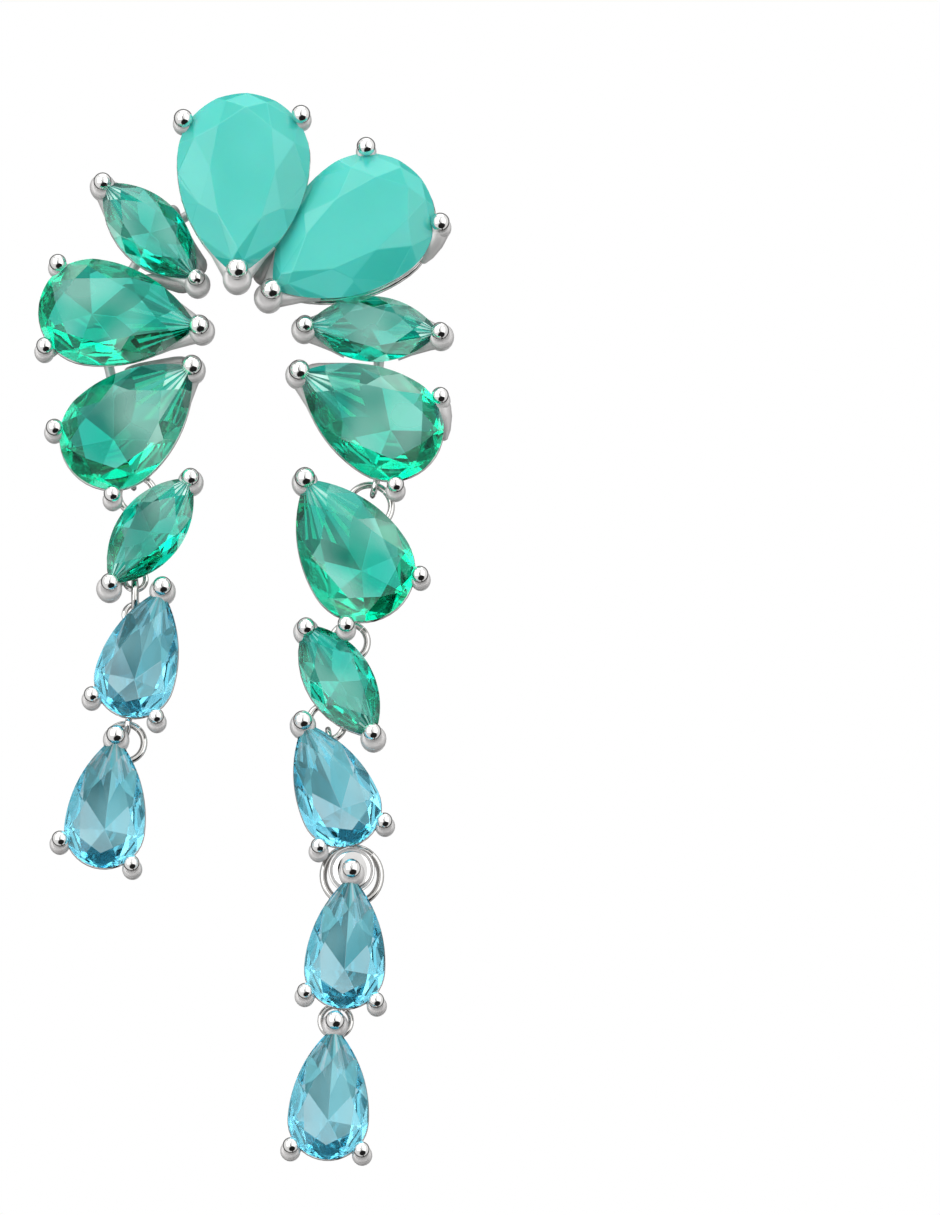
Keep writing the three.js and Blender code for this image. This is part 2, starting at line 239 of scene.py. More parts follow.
CUTS = {
    "large_pear": Cut(10, 14, True, 0.5, 0.8, 0.74, 1.5, 3.3),
    "green_pear": Cut(8, 12, True, 0.64, 0.62, 0.68, 1.2, 2.7),
    "blue_pear": Cut(6, 10, True, 0.66, 0.62, 0.68, 1.0, 2.1),
    "marquise": Cut(5, 10, False, 0.6, 0.62, 0.62, 0.9, 1.8),
}
GIRDLE = 0.3
FACETS = 8


@dataclass(frozen=True)
class Claw:
    """A prong's end: the ball, the shoulder under it, and how far the shoulder lies outside the ball."""

    ball: float
    shoulder: float
    lean: float


TIP_CLAWS = {
    "large_pear": Claw(0.85, 1.1, 0.38),
    "green_pear": Claw(0.8, 1.0, 0.35),
    "blue_pear": Claw(0.74, 1.0, 0.05),
    "marquise": Claw(0.7, 0.98, 0.15),
}
HEAD_CLAWS = {
    "large_pear": Claw(0.72, 0.78, 0.12),
    "green_pear": Claw(0.66, 0.76, 0.1),
    "blue_pear": Claw(0.62, 0.76, 0.08),
}


@dataclass(frozen=True)
class Place:
    """Where a setting lies: its cut, its head's centre, its clockwise turn in degrees, its girdle's height,
    how far the point's ball stands beyond the stone, and the angles of its head prongs, left and right."""

    cut: str
    x: float
    y: float
    turn: float
    level: float
    beyond: float
    left: float = 0
    right: float = 0

    @property
    def middle(self) -> Vector:
        """The head's centre, on the back plane."""
        return Vector((self.x, self.y, 0))

    @property
    def matrix(self) -> Matrix:
        """The setting's own frame on the bench."""
        return Matrix.Translation(self.middle) @ Matrix.Rotation(-math.radians(self.turn), 4, "Z")


ARCH = {
    "top_pear": Place("large_pear", 0, 0, 183, 5, -0.5, 130, 120),
    "upper_right_pear": Place("large_pear", 9.42, -4.39, 233, 3.8, 0.15, 139, 125),
    "left_marquise": Place("marquise", -7.13, -5.13, -44, 2.6, 0.1),
    "left_pear_upper": Place("green_pear", -11.45, -11.5, 98, 3.9, 0.2, 133, 134),
    "left_pear_lower": Place("green_pear", -9.83, -20.96, 48, 3.3, 0, 130, 132),
    "right_marquise": Place("marquise", 9.72, -12.63, 93, 2.6, 0.1),
    "right_pear": Place("green_pear", 11.08, -20.3, -58, 3.5, 0.1, 127, 116),
}
DROPS = {
    "short_marquise": Place("marquise", -6.98, -28.07, 37, 3, 0),
    "short_blue_upper": Place("blue_pear", -8.16, -39.24, 17, 3, 0.2, 130, 134),
    "short_blue_lower": Place("blue_pear", -10.36, -50.61, 7, 3, 0.05, 112, 136),
    "long_pear": Place("green_pear", 8.92, -31.02, -32, 3.5, 0.05, 133, 129),
    "long_marquise": Place("marquise", 7.25, -39.42, -32, 3, -0.3),
    "long_blue_upper": Place("blue_pear", 7.41, -49.02, -24, 3, 0.1, 127, 133),
    "long_blue_middle": Place("blue_pear", 7.67, -61.21, 4, 3, 0.5, 125, 132),
    "long_blue_lower": Place("blue_pear", 6.46, -72.6, 4, 3.4, 0.4, 130, 129),
}
PLACES = {**ARCH, **DROPS}


@dataclass(frozen=True)
class Link:
    """A jump ring: the settings over and under it, its centre, radius and wire, and whether it is edge-on."""

    upper: str
    lower: str
    x: float
    y: float
    radius: float
    wire: float
    edge_on: bool = False

    @property
    def centre(self) -> Vector:
        """The ring's middle on the bench."""
        return Vector((self.x, self.y, LINK_LEVEL))


LINKS = {
    "short_1": Link("left_pear_lower", "short_marquise", -8.05, -25.1, 1.35, 0.26),
    "short_2": Link("short_marquise", "short_blue_upper", -8.15, -32.9, 1.35, 0.26, True),
    "short_3": Link("short_blue_upper", "short_blue_lower", -8.84, -43.94, 1.4, 0.26),
    "long_1": Link("right_pear", "long_pear", 9.5, -26, 1.65, 0.26),
    "long_2": Link("long_pear", "long_marquise", 8, -36.3, 1.35, 0.26),
    "long_3": Link("long_marquise", "long_blue_upper", 6.3, -42.4, 1.35, 0.26),
    "long_4": Link("long_blue_upper", "long_blue_middle", 8.2, -54.02, 2.15, 0.28),
    "long_5": Link("long_blue_middle", "long_blue_lower", 7, -65, 1.15, 0.22),
}
LINK_LEVEL = 1.35
LINK_SLIT = 0.05

# Solder bars of the arch join these neighbours.
NEIGHBOURS = (
    ("top_pear", "upper_right_pear"),
    ("top_pear", "left_marquise"),
    ("left_marquise", "left_pear_upper"),
    ("left_pear_upper", "left_pear_lower"),
    ("upper_right_pear", "right_marquise"),
    ("right_marquise", "right_pear"),
)


@dataclass(frozen=True)
class Gusset:
    """Solder that fills a gap of the arch: its ends, and its middle sections (share of the way, radius)."""

    start: tuple
    end: tuple
    form: tuple


GUSSETS = (
    Gusset((3.5, -4.3, 2.3), (1.2, -9.2, 2.1), ((0.4, 0.5), (0.75, 0.85), (0.9, 0.8))),
    Gusset((-5.5, -3.0, 1.6), (-3.1, -8.3, 1.8), ((0.1, 0.4), (0.3, 0.28), (0.6, 0.45), (0.85, 0.66))),
    Gusset((-3.9, -9.4, 1.8), (-7.6, -8.5, 1.8), ((0.25, 0.6), (0.6, 0.5))),
    Gusset((-3.9, -15.0, 2.2), (-9.0, -15.7, 2.2), ((0.25, 0.5), (0.6, 0.42))),
    Gusset((4.5, -15.7, 2.3), (9.0, -15.4, 2.0), ((0.25, 0.46), (0.6, 0.38))),
)


@dataclass(frozen=True)
class Arc:
    """One arc of an outline: its centre on the x axis, its radius, and the angles it runs between."""

    x: float
    radius: float
    start: float
    end: float

    @property
    def length(self) -> float:
        """The way along the arc."""
        return self.radius * (self.end - self.start)

    def point(self, angle: float) -> Vector:
        """The point of the arc at an angle."""
        return Vector((self.x + self.radius * math.cos(angle), self.radius * math.sin(angle), 0))


class Outline:
    """A stone's outline at an offset: two flanks that meet in a point, and a round head or a second point."""

    NUDGE = 1e-5
    HALVINGS = 30

    def __init__(self, cut: Cut, offset: float = 0) -> None:
        """Work out the arcs.

        Args:
            cut: the cut whose outline it is.
            offset: how far outside the stone it runs.
        """
        half = cut.width / 2
        shift = (cut.reach * cut.reach - half * half) / (2 * half)
        side = shift + half + offset
        spread = math.acos(shift / side)
        left = Arc(shift, side, math.pi - spread, math.pi if cut.round_head else math.pi + spread)
        right = Arc(-shift, side, 0 if cut.round_head else -spread, spread)
        head = [Arc(0, half + offset, math.pi, 2 * math.pi)] if cut.round_head else []
        self.arcs = [left, *head, right]
        self.length = sum(arc.length for arc in self.arcs)

    def at(self, share: float) -> tuple[Vector, Vector]:
        """The point and the outward direction at a share of the way round, anticlockwise from the point.

        Args:
            share: the share of the outline's length.

        Returns:
            The point, and the direction that faces outwards there.
        """
        way = (share - math.floor(share)) * self.length
        for arc in self.arcs:
            if way <= arc.length:
                break
            way -= arc.length
        angle = min(arc.start + way / arc.radius, arc.end)
        return arc.point(angle), Vector((math.cos(angle), math.sin(angle), 0))

    def facing(self, share: float) -> tuple[Vector, Vector]:
        """The same as at, with the two directions at a point of the stone averaged."""
        before, after = self.at(share - self.NUDGE)[1], self.at(share + self.NUDGE)[1]
        return self.at(share)[0], (before + after).normalized()

    def share_at(self, degrees: float) -> float:
        """The share at which the outline lies in a direction.

        Args:
            degrees: the direction from the point, left-hand side positive.

        Returns:
            The share of the outline's length.
        """
        low = 0.0 if degrees > 0 else 0.5
        high = low + 0.5
        for _ in range(self.HALVINGS):
            middle = (low + high) / 2
            point = self.at(middle)[0]
            if math.atan2(-point.x, point.y) < math.radians(degrees):
                low = middle
            else:
                high = middle
        return low

    def follow(self, head_steps: int, flank_steps: int) -> None:
        """Spin what is selected of the open mesh along the outline, arc by arc from the point.

        Args:
            head_steps: number of steps round the head.
            flank_steps: number of steps along each flank.
        """
        for arc in self.arcs:
            steps = head_steps if arc.x == 0 else flank_steps
            bpy.ops.mesh.spin(steps=steps, angle=arc.start - arc.end, center=(arc.x, 0, 0), axis=UP)


# ------------------------------------------------------------------------------------------------------------
# Finishes
# ------------------------------------------------------------------------------------------------------------


class Nodes:
    """A small writer of shader nodes."""

    def __init__(self, owner: bpy.types.Material | bpy.types.World) -> None:
        """Turn a material or a world over to nodes, with none in it yet.

        Args:
            owner: the material or the world.
        """
        owner.use_nodes = True
        self.owner = owner
        self.tree = owner.node_tree
        self.tree.nodes.clear()

    def add(self, kind: str, inputs: dict | None = None, **settings: object) -> bpy.types.Node:
        """Add a node.

        Args:
            kind: the node's type, without its leading "ShaderNode".
            inputs: socket name or number to a value, or to another node's output socket.
            settings: properties of the node.

        Returns:
            The new node.
        """
        node = self.tree.nodes.new("ShaderNode" + kind)
        for name, value in settings.items():
            setattr(node, name, value)
        for key, value in (inputs or {}).items():
            socket = node.inputs[key]
            if isinstance(value, bpy.types.NodeSocket):
                self.tree.links.new(value, socket)
            else:
                socket.default_value = value
        return node

    def sum(self, operation: str, *values: float | bpy.types.NodeSocket) -> bpy.types.NodeSocket:
        """The result of one sum on numbers and sockets."""
        return self.add("Math", dict(enumerate(values)), operation=operation).outputs[0]

    def place(self) -> bpy.types.NodeSocket:
        """The place of a point of the piece, in metres."""
        return self.add("TexCoord").outputs["Object"]

    def noise(
        self, place: bpy.types.NodeSocket, scale: float, detail: float, grain: float = 0.5
    ) -> bpy.types.NodeSocket:
        """Soft noise at a scale, with a number of finer layers and the strength of each in the one before."""
        form = {"Vector": place, "Scale": scale, "Detail": detail, "Roughness": grain}
        return self.add("TexNoise", form).outputs["Fac"]

    def carried(self, name: str) -> bpy.types.NodeSocket:
        """A value that the mesh carries on its faces."""
        return self.add("Attribute", attribute_name=name, attribute_type="GEOMETRY").outputs["Fac"]

    def between(
        self,
        value: bpy.types.NodeSocket,
        edges: tuple[float, float],
        ends: tuple[float, float] = (0.0, 1.0),
        how: str = "LINEAR",
    ) -> bpy.types.NodeSocket:
        """How far a value is from one edge to the other, carried over between two ends and held there."""
        limits = {"From Min": edges[0], "From Max": edges[1], "To Min": ends[0], "To Max": ends[1]}
        return self.add("MapRange", {"Value": value, **limits}, interpolation_type=how).outputs[0]

    def ramp(
        self, factor: bpy.types.NodeSocket, stops: Sequence[tuple[float, tuple]]
    ) -> bpy.types.NodeSocket:
        """Colour a factor by a ramp.

        Args:
            factor: the socket that drives the ramp.
            stops: (position, colour) pairs.

        Returns:
            The ramp's colour socket.
        """
        node = self.add("ValToRGB", {"Fac": factor})
        elements = node.color_ramp.elements
        while len(elements) < len(stops):
            elements.new(0.5)
        for element, (position, colour) in zip(elements, stops):
            element.position = position
            element.color = (*colour, 1)
        return node.outputs["Color"]


@dataclass(frozen=True)
class PolishedPlate:
    """Polished silver-toned plating, with the faint haze and fine scratches of handling."""

    name: str = "polished_plate"
    tone: tuple = (0.86, 0.855, 0.84)
    shade: tuple = (0.78, 0.775, 0.765)
    haze: tuple = (0.05, 0.12)
    metal: float = 1.0
    patches: tuple = (0.3, 0.7)
    patch_scale: float = 900.0
    scratch_scale: float = 9000.0
    scratch_depth: float = 0.00002
    scratches: float = 0.04

    def material(self) -> bpy.types.Material:
        """Write the material.

        Returns:
            The material.
        """
        nodes = Nodes(bpy.data.materials.new(self.name))
        place = nodes.place()
        cloud = nodes.noise(place, self.patch_scale, 3.0)
        grain = nodes.noise(place, self.scratch_scale, 2.0)
        colour = nodes.ramp(cloud, list(zip(self.patches, (self.shade, self.tone))))
        haze = nodes.between(cloud, self.patches, self.haze)
        scratched = {"Height": grain, "Strength": self.scratches, "Distance": self.scratch_depth}
        bump = nodes.add("Bump", scratched).outputs["Normal"]
        plate = {"Base Color": colour, "Metallic": self.metal, "Roughness": haze, "Normal": bump}
        shader = nodes.add("BsdfPrincipled", plate)
        nodes.add("OutputMaterial", {"Surface": shader.outputs["BSDF"]})
        return nodes.owner


POLISHED = PolishedPlate()
RING = PolishedPlate("ring_plate", (0.7, 0.69, 0.67), (0.58, 0.57, 0.55), (0.04, 0.1))
# Solder of the gussets: real metal, with its colour painted darker than the satin plate as painted shade
# between the stones.
SHADED_SOLDER = PolishedPlate("solder_painted_shade", (0.44, 0.43, 0.42), (0.36, 0.35, 0.345), (0.4, 0.5), 0.5)
SATIN = PolishedPlate("satin_plate", (0.6, 0.59, 0.585), (0.54, 0.53, 0.525), (0.36, 0.44), 0.35)
GLASS_IOR = 1.54


@dataclass(frozen=True)
class ClearGlass:
    """Clear tinted glass. Its colour comes from how much of each light a metre of it takes up. Each facet
    is painted lighter or darker, as painted light and shade of its facets, and a pale veil of painted
    reflection haze and highlight lies over some of them."""

    name: str
    deep: tuple
    rich: tuple
    middle: tuple
    pale: tuple
    veil: tuple
    glance: tuple
    takes: tuple
    # How much the painted haze varies from patch to patch.
    painted_haze_range: tuple = (0.1, 2.0)
    patches: tuple = (0.35, 0.65)
    patch_scale: float = 210.0
    veil_haze: float = 0.12

    def material(self) -> bpy.types.Material:
        """Write the material.

        Returns:
            The material.
        """
        nodes = Nodes(bpy.data.materials.new(self.name))
        cloud = nodes.noise(nodes.place(), self.patch_scale, 1.0)
        # The veil of painted reflection haze and highlight is spread over soft patches.
        painted_haze_range = nodes.between(cloud, self.patches, self.painted_haze_range)
        veil = nodes.sum("MULTIPLY", nodes.carried("facet_painted_haze"), painted_haze_range)
        # The ramp turns each facet's painted light and shade into a tint of the glass, from deep to pale.
        stops = [(0.0, self.deep), (0.2, self.rich), (0.5, self.middle), (1.0, self.pale)]
        tint = nodes.ramp(nodes.carried("facet_painted_shading"), stops)
        clear = {"Base Color": tint, "Roughness": 0.0, "IOR": GLASS_IOR, "Transmission Weight": 1.0}
        glass = nodes.add("BsdfPrincipled", {**clear, "Specular Tint": (*self.glance, 1)})
        # The hazy layer is a painted reflection haze and highlight laid over the glass.
        hazy = {"Base Color": (*self.veil, 1), "Roughness": self.veil_haze, "IOR": GLASS_IOR}
        haze = nodes.add("BsdfPrincipled", hazy)
        skin = nodes.add("MixShader", {0: veil, 1: glass.outputs["BSDF"], 2: haze.outputs["BSDF"]})
        density = max(self.takes)
        kept = tuple(1 - share / density for share in self.takes)
        inside = nodes.add("VolumeAbsorption", {"Color": (*kept, 1), "Density": density})
        both = {"Surface": skin.outputs["Shader"], "Volume": inside.outputs["Volume"]}
        nodes.add("OutputMaterial", both)
        return nodes.owner


@dataclass(frozen=True)
class MilkyGlass:
    """Milky glass: light scatters in it, and each facet is painted a little lighter or darker, as painted
    shading of its facets.
    """

    name: str
    deep: tuple
    middle: tuple
    pale: tuple
    cloudiness: float = 0.5
    cloud_scale: float = 160.0
    cloud_grain: float = 0.4
    polish: float = 0.07
    milk: float = 0.5
    milk_depth: float = 0.001

    def material(self) -> bpy.types.Material:
        """Write the material.

        Returns:
            The material.
        """
        nodes = Nodes(bpy.data.materials.new(self.name))
        cloud = nodes.noise(nodes.place(), self.cloud_scale, 2.0, self.cloud_grain)
        cloud = nodes.sum("ADD", cloud, -0.5)
        # Each facet's painted shading is mixed with soft noise, the glass's own cloudiness.
        mixed = nodes.sum("MULTIPLY_ADD", cloud, self.cloudiness, nodes.carried("facet_painted_shading"))
        tint = nodes.ramp(mixed, [(0.0, self.deep), (0.5, self.middle), (1.0, self.pale)])
        glass = {"Base Color": tint, "Roughness": self.polish, "IOR": GLASS_IOR}
        milk = {"Subsurface Weight": self.milk, "Subsurface Scale": self.milk_depth}
        shader = nodes.add("BsdfPrincipled", {**glass, **milk})
        nodes.add("OutputMaterial", {"Surface": shader.outputs["BSDF"]})
        return nodes.owner


# ------------------------------------------------------------------------------------------------------------
# Stones
# ------------------------------------------------------------------------------------------------------------


class FacetKind(Enum):
    """The groups of facets of a brilliant cut: the range of their painted light and shade, from deep to pale,
    and of their veils of painted reflection haze and highlight. The dark mains are painted near black, as
    painted dark reflections; the streaks, the glints and the worn edges are painted highlights."""

    GIRDLE = (0.3, 0.3, 0.04, 0.04)
    TABLE = (0.62, 0.62, 0.15, 0.15)
    STAR = (0.15, 0.7, 0.0, 0.3)
    KITE = (0.15, 0.5, 0.0, 0.2)
    BREAK = (0.15, 0.55, 0.0, 0.28)
    MAIN = (0.15, 0.85, 0.05, 0.1)
    # Painted dark reflection: these mains are painted near black.
    DARK = (0.0, 0.05, 0.0, 0.0)
    HALF = (0.1, 0.7, 0.04, 0.1)
    TIP = (0.08, 0.3, 0.0, 0.12)
    FAN = (0.1, 0.16, 0.0, 0.0)
    # Painted highlight: white streaks on the bright facets of the pavilion's fans.
    STREAK_HIGHLIGHT = (1.0, 1.0, 0.55, 0.95)
    # Painted highlight: glints on the bright facets of the crown's fans.
    GLINT = (0.4, 1.0, 0.1, 0.65)
    # The worn bevels are real; their pale tone and veil are a painted highlight line.
    WORN_EDGE_HIGHLIGHT = (0.8, 0.8, 0.2, 0.2)


CROWN_RIM = (FacetKind.STAR, FacetKind.KITE, FacetKind.BREAK)
PAVILION_MAINS = (FacetKind.MAIN, FacetKind.DARK)
# The main facets of the pavilion that are painted darkest, as painted dark reflections, counted round from
# the point: those of a cut with a round head, and of one without.
DARK_MAINS = {True: (1, 7), False: (1, 5)}


@dataclass(frozen=True, eq=False)
class Facet:
    """A facet's plane: a point on it, and the direction it faces."""

    kind: FacetKind
    point: Vector
    normal: Vector


def plane_through(a: Vector, b: Vector, c: Vector, up: float) -> Vector:
    """The unit normal of the plane through three points, facing up for 1 and down for -1."""
    normal = (b - a).cross(c - a).normalized()
    return normal if normal.z * up > 0 else -normal


def shared_corner(first: Facet, second: Facet, height: float) -> Vector:
    """The point at a height on the edge that two facets share.

    Args:
        first: one facet.
        second: the other.
        height: the height over the girdle's middle.

    Returns:
        The point.
    """
    pair = (first, second)
    across = Matrix([(facet.normal.x, facet.normal.y) for facet in pair])
    sides = Vector([facet.normal.dot(facet.point) - facet.normal.z * height for facet in pair])
    x, y = across.inverted() @ sides
    return Vector((x, y, height))


@dataclass(frozen=True)
class Wear:
    """How edges are worn: how wide, what share of those of the crown, in how many steps, which facets take
    part besides the crown's rim, and the tone painted on what is worn, a painted highlight line along the
    bevels."""

    width: float = 0.016
    share: float = 0.12
    steps: int = 1
    also: tuple = ()
    # The worn bevels are painted this tone, a painted highlight.
    tone: float = 1.0


FINE_WEAR = Wear()
SOFT_WEAR = Wear(0.05, 1.0, 2, (FacetKind.TIP, FacetKind.TABLE), 0.6)


@dataclass
class StoneCutter:
    """Cuts one kind of stone from a blank, facet by facet."""

    cut: Cut
    clear: bool
    # How much lighter the crown's rim is painted, a painted highlight.
    rim_painted_light: float
    fan_length: float
    wearing: Wear
    flank_steps: int = 16
    head_steps: int = 28
    star_lift: float = 0.6
    half_depth: float = 0.4
    fan_width: float = 0.32
    fan_relief: float = 0.14
    glint_relief: float = 0.17
    fan_shares: tuple = (0.0, 0.14, 0.26, 0.42, 0.56, 0.74, 0.84, 1.0)
    glint_shares: tuple = (0.0, 0.1, 0.24, 0.36, 0.58, 0.7, 0.9, 1.0)
    seed_size: float = 0.01
    spare: float = 0.1
    same_way: float = 0.99998
    upright: float = 0.1

    def facets(self) -> list[Facet]:
        """The planes of every facet, crown first.

        Returns:
            The facets.
        """
        found = [Facet(FacetKind.TABLE, UP * self.cut.crown, UP)]
        found += self.half(1, self.cut.crown, self.star_lift, (FacetKind.KITE, FacetKind.BREAK))
        found += self.half(-1, self.cut.pavilion, self.half_depth, (FacetKind.MAIN, FacetKind.HALF))
        found += self.fan([facet for facet in found if facet.kind in PAVILION_MAINS], -1)
        if self.clear:
            found += self.fan([facet for facet in found if facet.kind is FacetKind.TIP], 1)
        return found

    def half(self, up: int, rise: float, lift: float, kinds: tuple[FacetKind, FacetKind]) -> list[Facet]:
        """The facets of the crown or of the pavilion: the mains first, and then those between them.

        Args:
            up: 1 for the crown, -1 for the pavilion.
            rise: how far it reaches from the girdle's middle.
            lift: where the corner between two mains lies, as a share of the way from the girdle.
            kinds: the kinds of the mains and of the facets by the girdle between them.

        Returns:
            The facets.
        """
        cut, outline = self.cut, Outline(self.cut)
        points = [share * FACETS for share in cut.points]
        girdle = GIRDLE / 2
        edges, inners, mains = [], [], []
        for i in range(FACETS):
            point, out = outline.facing(i / FACETS)
            edge = point + UP * up * girdle
            along = cut.tip_table if point.y > 0 else cut.head_table
            inner = Vector((point.x * cut.table, point.y * along, rise)) if up > 0 else UP * -rise
            side = Vector((-out.y, out.x, 0))
            kind = FacetKind.TIP if up > 0 and i in points else kinds[0]
            # These mains are painted near black, a painted dark reflection.
            if up < 0 and i in DARK_MAINS[cut.round_head]:
                kind = FacetKind.DARK
            mains.append(Facet(kind, edge, plane_through(edge, edge + side, inner, up)))
            edges.append(edge)
            inners.append(inner)
        found = [main for i, main in enumerate(mains) if up > 0 or i not in points]
        for i in range(FACETS):
            ahead = (i + 1) % FACETS
            between = outline.at((i + 0.5) / FACETS)[0] + UP * up * girdle
            if up < 0 and (i in points or ahead in points):
                continue
            corner = shared_corner(mains[i], mains[ahead], up * (girdle + (rise - girdle) * lift))
            if up > 0:
                star = plane_through(inners[i], inners[ahead], corner, up)
                found.append(Facet(FacetKind.STAR, corner, star))
            if up < 0 and not self.clear:
                continue
            for nearest in (i, ahead):
                kind = FacetKind.TIP if nearest in points else kinds[1]
                found.append(Facet(kind, corner, plane_through(corner, edges[nearest], between, up)))
        return found

    def fan(self, mains: Sequence[Facet], up: int) -> list[Facet]:
        """Narrow facets that spread from each point of the stone.

        Args:
            mains: the facets that meet at the points, which they round off.
            up: 1 for the fans of the crown, -1 for those of the pavilion.

        Returns:
            The facets.
        """
        reach, found = self.cut.reach, []
        for ahead in (1, -1)[: len(self.cut.points)]:
            tip = Vector((0, ahead * reach, up * GIRDLE / 2))
            flanks = sorted(mains, key=lambda main: (main.point - tip).length)[: 1 if up > 0 else 2]
            for side in (1, -1):
                main = max(flanks, key=lambda one: one.normal.x * side)

                def corner(share: float) -> Vector:
                    """The far corner of a narrow facet.

                    Args:
                        share: where it lies, as a share of the fan's half width.

                    Returns:
                        The point.
                    """
                    x = side * share * self.fan_width * self.cut.width
                    y = ahead * (reach - self.fan_length * reach)
                    level = main.normal.x * (x - main.point.x) + main.normal.y * (y - main.point.y)
                    relief = self.glint_relief * share**2 if up > 0 else self.fan_relief * (1 - share) ** 2
                    return Vector((x, y, main.point.z - level / main.normal.z - up * relief))

                shares = self.glint_shares if up > 0 else self.fan_shares
                if side < 0:
                    shares = [1 - share for share in reversed(shares)]
                # The fan's facets take turns: painted dark, then painted bright as a highlight.
                painted_dark = FacetKind.TIP if up > 0 else FacetKind.FAN
                bright = FacetKind.GLINT if up > 0 else FacetKind.STREAK_HIGHLIGHT
                for step, (first, second) in enumerate(zip(shares, shares[1:])):
                    normal = plane_through(tip, corner(first), corner(second), up)
                    found.append(Facet(bright if step % 2 else painted_dark, tip, normal))
        return found

    def blank(self) -> bpy.types.Object:
        """A prism with the stone's outline, spun arc by arc from the point and drawn up.

        Returns:
            The new piece.
        """
        cut, outline = self.cut, Outline(self.cut)
        start = outline.at(0)[0] - UP * (cut.pavilion + self.spare)
        bpy.ops.mesh.primitive_plane_add(size=self.seed_size, location=start)
        settle()
        piece = bpy.context.object
        with shaping(piece):
            bpy.ops.mesh.merge(type="CENTER")
            outline.follow(self.head_steps, self.flank_steps * (1 if cut.round_head else 2))
            take_all()
            bpy.ops.mesh.remove_doubles(threshold=2 * TOLERANCE)
            bpy.ops.mesh.edge_face_add()
            extrude(UP * (cut.crown + cut.pavilion + 2 * self.spare))
            face_out()
        return piece

    def build(self) -> bpy.types.Object:
        """Cut the stone, wear its edges, and give each face its painted light and shade and its veil of
        painted haze.

        Returns:
            The stone.
        """
        piece, facets = self.blank(), self.facets()
        with shaping(piece):
            for facet in facets:
                plane = {"plane_co": facet.point, "plane_no": facet.normal}
                take_all()
                bpy.ops.mesh.bisect(**plane, use_fill=True, clear_outer=True, threshold=TOLERANCE)
            bpy.ops.mesh.select_all(action="DESELECT")
        self.wear(piece, facets)
        self.tone(piece, facets)
        return piece

    def facet_of(self, normal: Vector, facets: Sequence[Facet]) -> Facet | None:
        """The facet that faces a way, or None for the girdle and for worn edges."""
        best = max(facets, key=lambda facet: facet.normal.dot(normal))
        return best if best.normal.dot(normal) > self.same_way else None

    def wear(self, piece: bpy.types.Object, facets: Sequence[Facet]) -> None:
        """Wear the edges between the pavilion's mains, and some of those of the crown, down to fine lines.
        The lot is drawn for each two facets, so it doesn't hang on the order of the mesh's edges.

        Args:
            piece: the cut stone.
            facets: the planes of its facets.
        """
        mesh = piece.data
        sides: dict[int, list] = {}
        for polygon in mesh.polygons:
            facet = self.facet_of(polygon.normal, facets)
            for loop in polygon.loop_indices:
                sides.setdefault(mesh.loops[loop].edge_index, []).append(facet)
        draw = random.Random(self.cut.length)
        lots = {frozenset(pair): draw.random() for pair in combinations(facets, 2)}
        for edge in mesh.edges:
            kinds = {facet.kind if facet else None for facet in sides[edge.index]}
            crown = kinds <= {*CROWN_RIM, *self.wearing.also}
            lot = lots.get(frozenset(sides[edge.index]), 1.0)
            edge.select = kinds <= {*PAVILION_MAINS} or crown and lot < self.wearing.share
        pick(piece)
        bpy.ops.object.mode_set(mode="EDIT")
        bpy.ops.mesh.select_mode(type="EDGE")
        bpy.ops.mesh.bevel(offset=self.wearing.width, segments=self.wearing.steps, affect="EDGES")
        bpy.ops.object.mode_set(mode="OBJECT")

    def tone(self, piece: bpy.types.Object, facets: Sequence[Facet]) -> None:
        """Give each face the painted light and shade of its facet, and its veil of painted reflection haze
        and highlight.

        Args:
            piece: the cut stone.
            facets: the planes of its facets.
        """
        mesh = piece.data
        draw = random.Random(self.cut.length * 10 + self.cut.width)
        drawn_for = {facet: (draw.random(), draw.random()) for facet in facets}
        tones = mesh.attributes.new("facet_painted_shading", "FLOAT", "FACE")
        veils = mesh.attributes.new("facet_painted_haze", "FLOAT", "FACE")
        for polygon in mesh.polygons:
            facet = self.facet_of(polygon.normal, facets)
            edge = FacetKind.GIRDLE if abs(polygon.normal.z) < self.upright else FacetKind.WORN_EDGE_HIGHLIGHT
            kind = facet.kind if facet else edge
            low_tone, high_tone, low_veil, high_veil = kind.value
            first, second = drawn_for[facet] if facet else (0, 0)
            tone = low_tone + (high_tone - low_tone) * first
            # Worn bevels take the wear's tone, a painted highlight.
            if kind is FacetKind.WORN_EDGE_HIGHLIGHT:
                tone = self.wearing.tone
            # The crown's rim facets are painted lighter, a painted highlight.
            tones.data[polygon.index].value = tone + (self.rim_painted_light if kind in CROWN_RIM else 0)
            veils.data[polygon.index].value = low_veil + (high_veil - low_veil) * second**2


@dataclass(frozen=True)
class StoneKind:
    """How a kind of stone is made: its glass and finish, how much lighter its crown's rim is painted, a
    painted highlight, the length of the fans at its points as a share of its reach, and how its edges are
    worn."""

    glass: Glass
    finish: ClearGlass | MilkyGlass
    rim_painted_light: float = 0.0
    fan_length: float = 0.5
    wearing: Wear = FINE_WEAR


